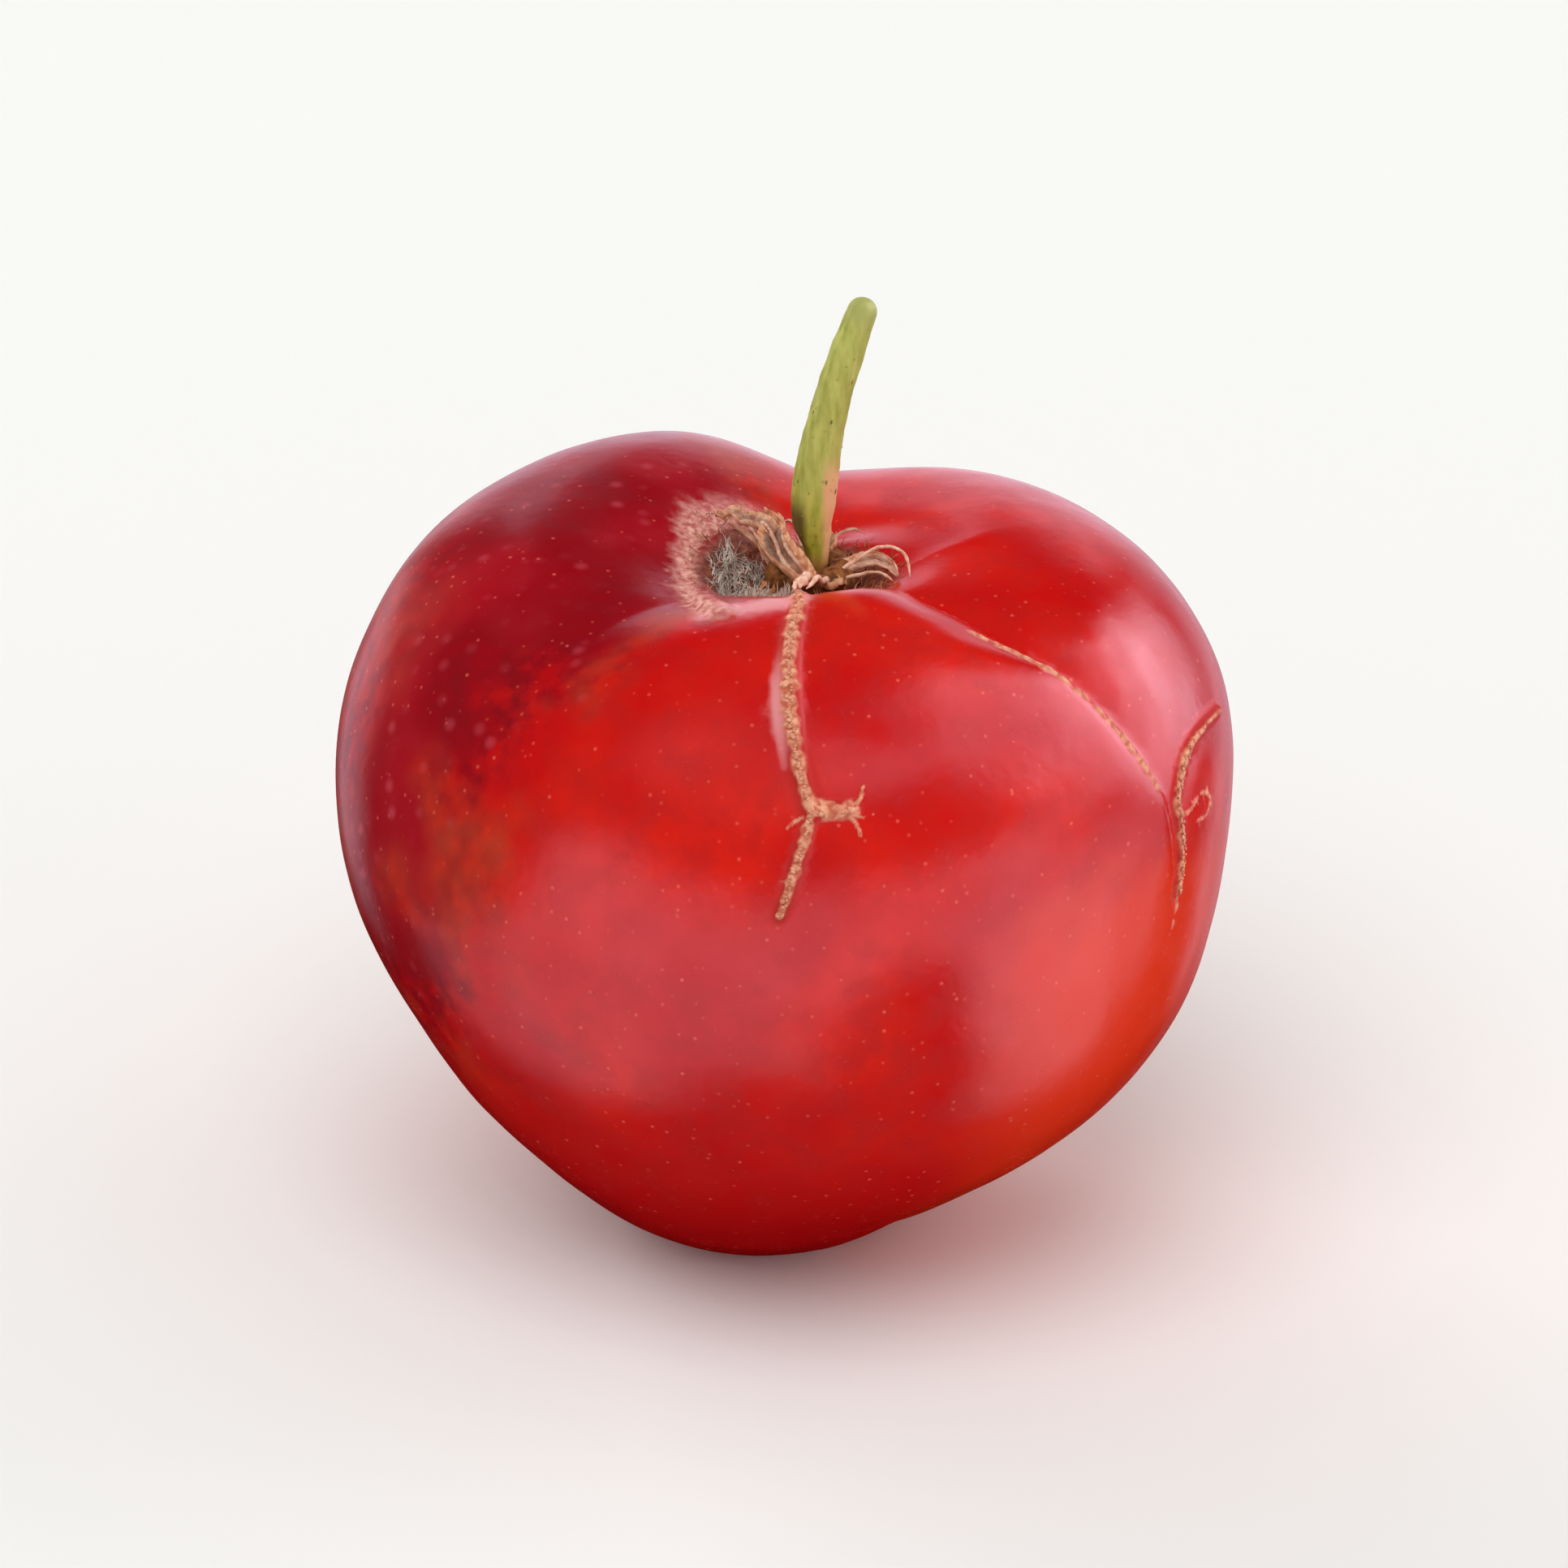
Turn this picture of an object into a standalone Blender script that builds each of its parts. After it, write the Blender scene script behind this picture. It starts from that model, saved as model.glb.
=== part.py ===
"""An acerola, the cherry-like fruit of a small tropical tree, as picked, with its stalk.

The model has three pieces, each one closed solid with its own material:
  fruit   three fused lobes with a groove between each two, a hollow at the stalk end,
          raised cork scars on the skin and a small flat spot below that it rests on
  calyx   the dried ring and five sepals that stay in the hollow, two glands on each sepal
  stalk   the bent green stem, thicker where it leaves the hollow

Metres, +Z up along the fruit's core, the origin at the middle of the flat spot.
The front lobe, with the long cork scar, faces -Y, and +X is to its right.
The sizes below are in millimetres and degrees. A place on the skin is a pair of angles:
polar, from the top down, and azimuth, from the front (-Y) round to the right (+X).
"""

import math

import bmesh
import bpy
import numpy as np
from mathutils import Vector

MM = 0.001

# The fruit is 25 mm across. Its skin is a radius from this point, for each direction.
CORE = (0.0, -0.29, 10.8)
CORE_RADIUS = 12.0      # mean radius, which turns an angle on the skin into a length
CROWN_SHIFT = 0.75      # the stalk end leans this far to the right of the core
CROWN_RISE = 9.0        # height above the core where it leans fully
FOOT_SHIFT = -0.6       # the tip end leans this far to the left
FOOT_START = 3.0        # depth below the core where that lean begins
FOOT_DROP = 11.0        # and where it is complete

# Each lobe by the azimuth of its middle and its outline there: (polar angle, radius).
LOBES = {
    "front": (4, [(0, 8.1), (6, 8.15), (11, 8.55), (15.5, 9.6), (20, 10.45), (27, 11.1), (36, 11.75),
                  (60, 12.5), (90, 12.1), (122, 11.45), (138, 11.15), (160, 11.35), (180, 11.25)]),
    "right": (122, [(0, 8.1), (6, 8.15), (12, 8.7), (18, 9.6), (25, 10.4), (33, 11.15), (44, 12.05),
                    (66, 12.8), (90, 12.45), (120, 11.85), (135, 11.4), (158, 11.4), (180, 11.25)]),
    "left": (-118, [(0, 8.1), (6, 8.15), (12, 8.6), (18, 9.35), (25, 10.3), (33, 11.55), (44, 13.1),
                    (56, 13.95), (66, 13.75), (90, 12.4), (118, 10.85), (135, 10.7), (158, 11.2),
                    (180, 11.25)]),
}
LOBE_BLEND = (0.1, 0.9)  # where one lobe's outline gives way to the next, as shares of the way

# Each groove between two lobes: its azimuth near the hollow, at the shoulder and at the foot,
# how deep and how wide it is, the share of its depth that is a sharp crease, the polar angle
# where it has run out, how much wider one of its sides is, and its depth beside the tip. Then
# how much narrower its lower half is, and how high the lip stands along its narrow side.
GROOVES = {
    "right": dict(azimuths=(50, 62, 36), depth=1.0, width=2.2, crease=0.45, end=80, lean=0.5, foot=0.2,
                  narrowing=0.6, lip=0.28),
    "left": dict(azimuths=(-55, -50, -62), depth=0.6, width=2.6, crease=0.15, end=100, lean=-0.2, foot=0.3,
                 narrowing=0.0, lip=0.0),
    "back": dict(azimuths=(178, 184, 180), depth=1.85, width=3.0, crease=0.25, end=95, lean=-0.25, foot=0.1,
                 narrowing=0.0, lip=0.0),
}
CREASE_WIDTH = 0.35
LIP_WIDTH = 2.6          # the lip runs out this far from the crease

# A deeper pocket in the hollow, left of the stalk: its place, depth and width.
POCKET = dict(place=(13, -72), depth=0.75, width=1.25)

# The front lobe's rim stands higher right of its scar.
RIM_SWELL = dict(place=(24, 23), height=0.34, width=1.8)

# Low swells that keep the skin from being perfectly even: (how fast it turns along X, Y and Z,
# where it starts, height). The skin swells and sinks as a sine of the direction.
SWELLS = [((3.1, 1.7, -2.3), 0.4, 0.07), ((-2.2, 3.9, 1.9), 2.1, 0.06), ((4.6, -2.8, 3.3), 4.0, 0.045)]

# Cork scars: raised lines on the skin through these places, with their width and height.
SCAR_SPREAD = 0.8       # a ridge has run out this share of its width from its middle
SCARS = [
    dict(name="front line", width=0.52, height=0.20,
         places=[(20, -5), (26, -4.6), (32.5, -5.2), (39, -4.7), (46, -3.5), (51, -2), (58, 0.7)]),
    dict(name="front fork right", width=0.38, height=0.18, places=[(58, 0.7), (57.5, 4), (57.7, 6.8)]),
    dict(name="front fork low", width=0.34, height=0.16,
         places=[(58, 0.7), (61.3, 0.1), (64.4, -0.7), (68, -1.4), (71, -2.1)]),
    dict(name="right line", width=0.34, height=0.15,
         places=[(66, 82.5), (64.7, 75), (65, 69), (67.5, 65), (70.5, 63), (74.7, 63), (82, 61.7)]),
    dict(name="hollow rim", width=0.75, height=0.22,
         places=[(27, -30), (23, -48), (19.5, -70), (18.5, -95), (19, -120), (20, -140)]),
]

# The stalk: points up its middle as (right of the core, behind it, height), with its thickness.
STALK = [(0.88, 0.0, 19.15, 0.62), (0.9, 0.02, 19.85, 0.62), (0.92, 0.04, 20.3, 0.66),
         (0.86, 0.07, 20.75, 0.88), (0.79, 0.1, 21.2, 1.1), (0.84, 0.15, 22.0, 1.24),
         (0.98, 0.2, 23.1, 1.16), (1.3, 0.22, 24.7, 1.0), (1.74, 0.24, 26.25, 0.94),
         (2.2, 0.25, 27.65, 0.8)]
STALK_SIDES = 14
STALK_RINGS = 20        # rings of faces along it
STALK_DOME = (0.35, 0.7, 0.93)  # more rings that round its tip off, as shares of its radius

# The calyx: a low ring round the stalk's foot, with five sepals that lie up the hollow's wall.
# The ring's cross-section is (distance from the stalk's foot, height), with a hole for that foot.
RING_SECTION = [(0.52, 19.28), (0.52, 19.9), (0.85, 19.95), (1.2, 19.8), (1.3, 19.55), (1.2, 19.28)]
RING_SIDES = 28
# Each sepal's azimuth, the polar angle that its tip reaches, its width, how high its middle
# arches off the wall, and how high its tip curls.
SEPALS = [(-146, 17.5, 1.0, 0.3, 0.35), (-62, 13, 0.75, 0.1, 0.2), (26, 13.5, 0.8, 0.1, 0.2),
          (94, 17.5, 0.85, 0.5, 0.1), (160, 15.5, 0.85, 0.15, 0.5)]
SEPAL_ROOT = 4.6        # polar angle, inside the ring, where a sepal starts
SEPAL_GAP = 0.35        # a sepal's underside stays this far off the wall
SEPAL_THICK = 0.62
SEPAL_SECTIONS = 9
GLAND_RISE = 0.2        # the two long glands stand this far out of a sepal

# How finely the fruit is meshed, as the longest edge allowed there.
EDGE_PLAIN = 1.25
EDGE_GROOVE = 0.75
EDGE_HOLLOW = 0.6
EDGE_SCAR = 0.25
DEEP_GROOVE = 0.45      # a groove counts as a small feature where it is deeper than this
HOLLOW_POLAR = 27       # and the hollow's wall ends at this polar angle
SNAP_REACH = 0.07       # a point this near to the middle of a scar moves onto it

SKIN_COLOUR = (0.52, 0.012, 0.020)
STALK_COLOUR = (0.36, 0.38, 0.07)
CALYX_COLOUR = (0.23, 0.11, 0.045)


def clear_scene():
    """Remove what the scene holds, so that the script can run again in an open file."""
    for item in list(bpy.data.objects):
        bpy.data.objects.remove(item, do_unlink=True)


def material(name, colour, roughness):
    """A plain painted-on finish: one colour, not metallic."""
    made = bpy.data.materials.new(name)
    made.use_nodes = True
    surface = made.node_tree.nodes["Principled BSDF"]
    surface.inputs["Base Color"].default_value = (*colour, 1.0)
    surface.inputs["Roughness"].default_value = roughness
    surface.inputs["Metallic"].default_value = 0.0
    return made


def ease(low, high, value):
    """0 below low, 1 above high, and an even curve between them. High may be the smaller."""
    share = np.clip((value - low) / (high - low), 0.0, 1.0)
    return share * share * (3.0 - 2.0 * share)


def through(knots, value):
    """A smooth curve through knots of (place, height), level at its two ends."""
    places, heights = np.array(knots, dtype=float).T
    steps = np.diff(places)
    slopes = np.diff(heights) / steps
    tangents = np.zeros(len(places))
    tangents[1:-1] = (slopes[:-1] * steps[1:] + slopes[1:] * steps[:-1]) / (steps[1:] + steps[:-1])
    index = np.clip(np.searchsorted(places, value) - 1, 0, len(steps) - 1)
    t = np.clip((value - places[index]) / steps[index], 0.0, 1.0)
    start = (2 * t**3 - 3 * t**2 + 1) * heights[index]
    start = start + (t**3 - 2 * t**2 + t) * steps[index] * tangents[index]
    end = (3 * t**2 - 2 * t**3) * heights[index + 1]
    end = end + (t**3 - t**2) * steps[index] * tangents[index + 1]
    return start + end


def direction(polar, azimuth):
    """Unit vectors for places on the skin."""
    polar = np.radians(np.asarray(polar, dtype=float))
    azimuth = np.radians(np.asarray(azimuth, dtype=float))
    flat = np.sin(polar)
    return np.stack([flat * np.sin(azimuth), -flat * np.cos(azimuth), np.cos(polar)], axis=-1)


def lobe_shares(azimuth):
    """How much of each lobe's outline counts at each azimuth. They add up to 1."""
    names = sorted(LOBES, key=lambda name: LOBES[name][0])
    shares = {name: np.zeros_like(azimuth) for name in names}
    for here, after in zip(names, names[1:] + names[:1]):
        span = (LOBES[after][0] - LOBES[here][0]) % 360
        way = ((azimuth - LOBES[here][0]) % 360) / span
        turned = ease(*LOBE_BLEND, way)
        shares[here] += np.where(way <= 1, 1 - turned, 0)
        shares[after] += np.where(way <= 1, turned, 0)
    total = sum(shares.values())
    return {name: share / total for name, share in shares.items()}


def groove_depth(polar, azimuth, radius):
    """How far the grooves cut in: a soft valley with a sharper crease along it, beside a raised lip."""
    deepest = np.zeros_like(polar)
    lip = np.zeros_like(polar)
    for groove in GROOVES.values():
        near, shoulder, foot = groove["azimuths"]
        line = near + (shoulder - near) * ease(20, groove["end"], polar)
        line = line + (foot - shoulder) * ease(groove["end"], 140, polar)
        turn = (azimuth - line + 180) % 360 - 180
        across = np.radians(turn) * np.sin(np.radians(polar)) * radius
        lean = groove["lean"]
        wide_side = across * (1 if lean >= 0 else -1) > 0
        side = np.where(wide_side, 1 + abs(lean), 1 - 0.5 * abs(lean))
        width = groove["width"] * side * (1 - groove["narrowing"] * ease(32, 48, polar))
        valley = np.exp(-((across / width) ** 2))
        crease = np.exp(-np.sqrt(across**2 + 0.02) / (CREASE_WIDTH * side))
        shape = (1 - groove["crease"]) * valley + groove["crease"] * crease
        upper = groove["depth"] * ease(10, 27, polar) * (1 - ease(34, groove["end"], polar))
        lower = groove["foot"] * ease(115, 148, polar)
        deepest = np.maximum(deepest, upper * shape + lower * valley)
        swollen = groove["lip"] * ease(34, 48, polar) * (1 - ease(66, 84, polar))
        swollen = swollen * np.exp(-((across / LIP_WIDTH) ** 2)) * ease(0.0, 0.45, np.abs(across))
        lip = lip + np.where(wide_side, 0, swollen)
    return deepest - lip


def smooth_path(places, steps=5):
    """Directions along an even curve through places on the skin (Catmull-Rom, then unit length)."""
    knots = direction(*np.array(places, dtype=float).T)
    knots = np.vstack([2 * knots[0] - knots[1], knots, 2 * knots[-1] - knots[-2]])
    found = []
    for a, b, c, d in zip(knots, knots[1:], knots[2:], knots[3:]):
        for step in range(steps):
            t = step / steps
            found.append(0.5 * (2 * b + (c - a) * t + (2 * a - 5 * b + 4 * c - d) * t**2
                                + (3 * b - a - 3 * c + d) * t**3))
    found.append(knots[-2])
    found = np.array(found)
    return found / np.linalg.norm(found, axis=1, keepdims=True)


def from_path(directions, path):
    """Distance in millimetres from each direction to a path, and how far along it that is, 0 to 1."""
    nearest = np.full(len(directions), 1e9)
    along = np.zeros(len(directions))
    for index, (start, end) in enumerate(zip(path, path[1:])):
        run = end - start
        share = np.clip((directions - start) @ run / (run @ run), 0.0, 1.0)
        gap = np.linalg.norm(directions - start - share[:, None] * run, axis=1) * CORE_RADIUS
        closer = gap < nearest
        nearest = np.where(closer, gap, nearest)
        along = np.where(closer, (index + share) / (len(path) - 1), along)
    return nearest, along


def scar_height(directions):
    """How far the cork stands out: rounded ridges that thin out towards their far ends."""
    height = np.zeros(len(directions))
    for scar in SCARS:
        gap, along = from_path(directions, smooth_path(scar["places"]))
        half = SCAR_SPREAD * scar["width"] * (1 - 0.4 * ease(0.6, 1.0, along))
        height = np.maximum(height, scar["height"] * (1 - ease(0.15, 1.0, gap / half)))
    return height


def skin(directions):
    """Points of the fruit's skin in millimetres, one for each unit direction from its core."""
    directions = np.atleast_2d(directions)
    polar = np.degrees(np.arccos(np.clip(directions[:, 2], -1, 1)))
    azimuth = np.degrees(np.arctan2(directions[:, 0], -directions[:, 1]))
    shares = lobe_shares(azimuth)
    radius = sum(shares[name] * through(outline, polar) for name, (_, outline) in LOBES.items())
    radius = radius - groove_depth(polar, azimuth, radius)
    pocket_gap = np.linalg.norm(directions - direction(*POCKET["place"]), axis=1) * CORE_RADIUS
    radius = radius - POCKET["depth"] * np.exp(-((pocket_gap / POCKET["width"]) ** 2))
    rim_gap = np.linalg.norm(directions - direction(*RIM_SWELL["place"]), axis=1) * CORE_RADIUS
    radius = radius + RIM_SWELL["height"] * np.exp(-((rim_gap / RIM_SWELL["width"]) ** 2))
    away_from_hollow = ease(18, 40, polar)
    for turns, start, height in SWELLS:
        radius = radius + height * away_from_hollow * np.sin(directions @ np.array(turns) + start)
    radius = radius + scar_height(directions)
    points = directions * radius[:, None]
    lean = CROWN_SHIFT * ease(0, CROWN_RISE, points[:, 2])
    lean = lean + FOOT_SHIFT * ease(-FOOT_START, -FOOT_DROP, points[:, 2])
    points[:, 0] += lean
    return points + np.array(CORE)


def edge_allowed(directions):
    """The longest edge allowed round each direction, finer where the skin has small features."""
    polar = np.degrees(np.arccos(np.clip(directions[:, 2], -1, 1)))
    azimuth = np.degrees(np.arctan2(directions[:, 0], -directions[:, 1]))
    allowed = np.full(len(directions), EDGE_PLAIN)
    in_groove = groove_depth(polar, azimuth, np.full(len(directions), CORE_RADIUS)) > DEEP_GROOVE
    allowed = np.where(in_groove, EDGE_GROOVE, allowed)
    allowed = np.where(polar < HOLLOW_POLAR, np.minimum(allowed, EDGE_HOLLOW), allowed)
    for scar in SCARS:
        gap, _ = from_path(directions, smooth_path(scar["places"]))
        allowed = np.where(gap < SCAR_SPREAD * scar["width"], EDGE_SCAR, allowed)
    return allowed


def split_long_edges(mesh):
    """Halve every edge that is longer than allowed there, until none is. Points stay on a sphere."""
    while True:
        middles = np.array([(edge.verts[0].co + edge.verts[1].co) / 2 for edge in mesh.edges])
        lengths = np.array([edge.calc_length() for edge in mesh.edges]) * CORE_RADIUS
        middles /= np.linalg.norm(middles, axis=1, keepdims=True)
        too_long = lengths > edge_allowed(middles)
        if not too_long.any():
            return
        chosen = [edge for edge, long in zip(list(mesh.edges), too_long) if long]
        bmesh.ops.subdivide_edges(mesh, edges=chosen, cuts=1)
        bmesh.ops.triangulate(mesh, faces=mesh.faces[:])
        for vertex in mesh.verts:
            vertex.co.normalize()
        bmesh.ops.beautify_fill(mesh, faces=mesh.faces[:], edges=mesh.edges[:])


def draw_onto_scars(mesh):
    """Move the points nearest to each scar's middle onto it, so that its crest is a clean line."""
    places = np.array([vertex.co for vertex in mesh.verts])
    for scar in SCARS:
        path = smooth_path(scar["places"])
        gap, along = from_path(places, path)
        shares = np.linspace(0, 1, len(path))
        target = np.stack([np.interp(along, shares, path[:, axis]) for axis in range(3)], axis=-1)
        places = np.where((gap < SNAP_REACH)[:, None], target, places)
    places /= np.linalg.norm(places, axis=1, keepdims=True)
    for vertex, place in zip(mesh.verts, places):
        vertex.co = place
    bmesh.ops.beautify_fill(mesh, faces=mesh.faces[:], edges=mesh.edges[:])


def to_object(mesh, name, finish):
    """Put a bmesh, in metres, into a named object with a smooth surface and perhaps a finish."""
    bmesh.ops.recalc_face_normals(mesh, faces=mesh.faces[:])
    data = bpy.data.meshes.new(name)
    mesh.to_mesh(data)
    mesh.free()
    data.shade_smooth()
    data.set_sharp_from_angle(angle=math.radians(50))
    if finish:
        data.materials.append(finish)
    made = bpy.data.objects.new(name, data)
    bpy.context.scene.collection.objects.link(made)
    return made


def make_fruit():
    """The fruit: a sphere of directions, pushed out to the skin, and cut flat below."""
    mesh = bmesh.new()
    bmesh.ops.create_icosphere(mesh, subdivisions=4, radius=1.0)
    split_long_edges(mesh)
    draw_onto_scars(mesh)
    points = skin(np.array([vertex.co for vertex in mesh.verts])) * MM
    for vertex, point in zip(mesh.verts, points):
        vertex.co = point
    cut = bmesh.ops.bisect_plane(mesh, geom=mesh.verts[:] + mesh.edges[:] + mesh.faces[:],
                                 plane_co=(0, 0, 0), plane_no=(0, 0, -1), clear_outer=True)
    rim = [item for item in cut["geom_cut"] if isinstance(item, bmesh.types.BMEdge)]
    bmesh.ops.contextual_create(mesh, geom=rim)
    bmesh.ops.triangulate(mesh, faces=mesh.faces[:])
    return to_object(mesh, "fruit", material("acerola skin", SKIN_COLOUR, 0.2))


def ring_of_points(mesh, centre, across, upward, points):
    """Vertices of one cross-section, each given as (across, up) in millimetres from its centre."""
    return [mesh.verts.new((centre + across * a + upward * b) * MM) for a, b in points]


def skin_between(mesh, rings):
    """Close the faces between rings of vertices, and the two ends."""
    for lower, upper in zip(rings, rings[1:]):
        count = len(lower)
        for index in range(count):
            after = (index + 1) % count
            mesh.faces.new((lower[index], lower[after], upper[after], upper[index]))
    for end in (rings[0], rings[-1]):
        mesh.faces.new(end)
    bmesh.ops.triangulate(mesh, faces=mesh.faces[:])


def stalk_at(share):
    """Middle and thickness of the stalk, at a share of the way from its foot to its tip."""
    heights = np.linspace(0, 1, len(STALK))
    return [float(through(list(zip(heights, values)), np.array([share]))[0]) for values in zip(*STALK)]


def make_stalk():
    """The stalk: a round tube that bends to the right, swells near its foot and ends rounded."""
    mesh = bmesh.new()
    rings = []
    turns = np.linspace(0, math.tau, STALK_SIDES, endpoint=False)
    circle = [(math.cos(turn), math.sin(turn)) for turn in turns]
    for step in range(STALK_RINGS + len(STALK_DOME)):
        share = min(step / (STALK_RINGS - 1), 1)
        x, y, z, thickness = stalk_at(share)
        below, above = stalk_at(max(share - 0.02, 0)), stalk_at(min(share + 0.02, 1))
        along = (Vector(above[:3]) - Vector(below[:3])).normalized()
        across = along.cross(Vector((0, 1, 0))).normalized()
        upward = along.cross(across)
        radius = 0.5 * thickness
        middle = Vector((x + CORE[0], y + CORE[1], z))
        if step >= STALK_RINGS:
            rise = STALK_DOME[step - STALK_RINGS]
            middle = middle + along * radius * rise
            radius = radius * math.sqrt(1 - rise**2)
        outline = [(radius * a, radius * b) for a, b in circle]
        rings.append(ring_of_points(mesh, middle, across, upward, outline))
    skin_between(mesh, rings)
    return to_object(mesh, "stalk", material("stalk skin", STALK_COLOUR, 0.5))


def sepal_section(width, thick, gland):
    """Half-round top with two long glands, and a flat underside, as (across, up) points."""
    points = []
    for turn in np.linspace(0, math.pi, 9):
        across = math.cos(turn)
        bump = gland * math.exp(-(((abs(across) - 0.5) / 0.28) ** 2))
        points.append((0.5 * width * across, thick * math.sin(turn) ** 0.6 + bump * math.sin(turn)))
    return points + [(-0.25 * width, 0.0), (0.25 * width, 0.0)]


def make_sepal(azimuth, reach, width, arch, curl):
    """One dried sepal, from inside the ring up the hollow's wall to its tip."""
    mesh = bmesh.new()
    shares = np.linspace(0, 1, SEPAL_SECTIONS)
    polars = SEPAL_ROOT + (reach - SEPAL_ROOT) * shares
    wall = skin(direction(polars, np.full(len(shares), azimuth)))
    lift = SEPAL_GAP + arch * np.sin(math.pi * shares) + curl * shares**3
    line = [Vector(point) + Vector((0, 0, rise)) for point, rise in zip(wall, lift)]
    across = Vector((math.cos(math.radians(azimuth)), math.sin(math.radians(azimuth)), 0))
    upward = (line[-1] - line[0]).cross(across).normalized()
    rings = []
    for middle, share in zip(line, shares):
        spread = math.sin(math.pi * (0.22 + 0.7 * share)) ** 0.8
        thick = SEPAL_THICK * (1 - 0.35 * share**4)
        section = sepal_section(width * spread, thick, GLAND_RISE * spread)
        rings.append(ring_of_points(mesh, middle, across, upward, section))
    skin_between(mesh, rings)
    return to_object(mesh, "sepal", None)


def make_calyx():
    """The calyx: the ring with its plain hole for the stalk, and the sepals joined to it."""
    mesh = bmesh.new()
    axis = Vector((CORE[0] + CROWN_SHIFT, CORE[1], 0))
    rings = []
    for turn in np.linspace(0, math.tau, RING_SIDES, endpoint=False):
        out = Vector((math.cos(turn), math.sin(turn), 0))
        rings.append(ring_of_points(mesh, axis, out, Vector((0, 0, 1)), RING_SECTION))
    for here, after in zip(rings, rings[1:] + rings[:1]):
        for index in range(len(RING_SECTION)):
            below = (index + 1) % len(RING_SECTION)
            mesh.faces.new((here[index], here[below], after[below], after[index]))
    calyx = to_object(mesh, "calyx", material("dried calyx", CALYX_COLOUR, 0.85))
    sepals = bpy.data.collections.new("sepals")
    for sepal in SEPALS:
        sepals.objects.link(make_sepal(*sepal))
    union = calyx.modifiers.new("sepals", "BOOLEAN")
    union.operation = "UNION"
    union.operand_type = "COLLECTION"
    union.collection = sepals
    union.solver = "EXACT"
    bpy.context.view_layer.update()
    joined = bpy.data.meshes.new_from_object(calyx.evaluated_get(bpy.context.evaluated_depsgraph_get()))
    calyx.modifiers.remove(union)
    calyx.data = joined
    for sepal in list(sepals.objects):
        bpy.data.objects.remove(sepal, do_unlink=True)
    bpy.data.collections.remove(sepals)
    return calyx


clear_scene()
make_fruit()
make_calyx()
make_stalk()
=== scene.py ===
# %% [markdown]
# # A ripe acerola
# This file dresses the plain solids of an acerola, the cherry-like fruit of a small tropical
# tree, until they look like the real thing. It is a lesson in cells: each step is told first,
# and then done. The solids come in as a fixed frame, in metres, with the fruit standing on z = 0
# and its long cork scar facing -Y, and nothing here moves them.
# Sizes below are in millimetres unless a name says otherwise, because that is how a fruit is
# measured, and they are turned to metres when a mesh is made.

import math

import bmesh
import bpy
import numpy as np
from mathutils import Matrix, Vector, noise


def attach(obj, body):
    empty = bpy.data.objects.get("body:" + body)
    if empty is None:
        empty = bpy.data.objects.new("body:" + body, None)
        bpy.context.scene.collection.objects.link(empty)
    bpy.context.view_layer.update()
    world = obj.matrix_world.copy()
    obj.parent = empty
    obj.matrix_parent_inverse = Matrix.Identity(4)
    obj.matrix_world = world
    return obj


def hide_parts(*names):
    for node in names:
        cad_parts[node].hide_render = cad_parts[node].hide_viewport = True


MM = 0.001
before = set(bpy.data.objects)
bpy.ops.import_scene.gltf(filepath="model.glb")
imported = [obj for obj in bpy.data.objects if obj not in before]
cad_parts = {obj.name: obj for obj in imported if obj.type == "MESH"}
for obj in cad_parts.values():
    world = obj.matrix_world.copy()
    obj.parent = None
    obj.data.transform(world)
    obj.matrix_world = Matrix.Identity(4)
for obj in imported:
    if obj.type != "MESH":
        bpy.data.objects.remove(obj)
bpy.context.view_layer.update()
print("solids:", sorted(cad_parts))

# %% [markdown]
# ## Small helpers
# Colours are written as the hex codes that a colour picker shows. Blender's shaders calculate in
# linear light, so one function converts them. Another adds a node of any kind, with its settings
# and what goes into its sockets, which keeps each material short enough to read. Two more start a
# material and put an object in the scene.

# %% Colour, node and object helpers
def linear(code):
    """The linear colour, with alpha, of an sRGB hex code such as #c41a11."""
    shares = [int(code[start:start + 2], 16) / 255 for start in (1, 3, 5)]
    return tuple(c / 12.92 if c <= 0.04045 else ((c + 0.055) / 1.055) ** 2.4 for c in shares) + (1.0,)


def feed(node, inputs):
    """Set inputs of a node. Each gets a value, a socket's link, or a node's first output in use."""
    for key, value in inputs.items():
        if isinstance(value, bpy.types.Node):
            value = next(output for output in value.outputs if output.enabled)
        if isinstance(value, bpy.types.NodeSocket):
            node.id_data.links.new(value, node.inputs[key])
        else:
            node.inputs[key].default_value = value


def add(tree, kind, inputs=None, **settings):
    """Add a node with its settings, and feed its inputs."""
    node = tree.nodes.new(kind)
    for name, value in settings.items():
        setattr(node, name, value)
    feed(node, inputs or {})
    return node


def new_material(name):
    """A material, its tree, its surface node, and the place on the object, in metres."""
    made = bpy.data.materials.new(name)
    made.use_nodes = True
    tree = made.node_tree
    return made, tree, tree.nodes["Principled BSDF"], add(tree, "ShaderNodeTexCoord").outputs["Object"]


def new_object(name, data):
    """An object for a mesh, lamp or camera, linked to the scene."""
    made = bpy.data.objects.new(name, data)
    bpy.context.scene.collection.objects.link(made)
    return made


print("a ripe red in linear light:", [round(c, 3) for c in linear("#c41a11")])

# %% [markdown]
# ## The camera
# The photograph looks down on the fruit from about 27 degrees, from far away, so there is hardly
# any perspective. A long lens gives that: the same view from close by would swell the front lobe.

# %% Camera
VIEW_HEIGHT_DEG = 27
LENS_MM = 600
PICTURE_WIDTH = 44                       # how much of the world the picture takes in, side to side
LOOK_AT = Vector((0, -0.29, 12.95)) * MM

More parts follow.
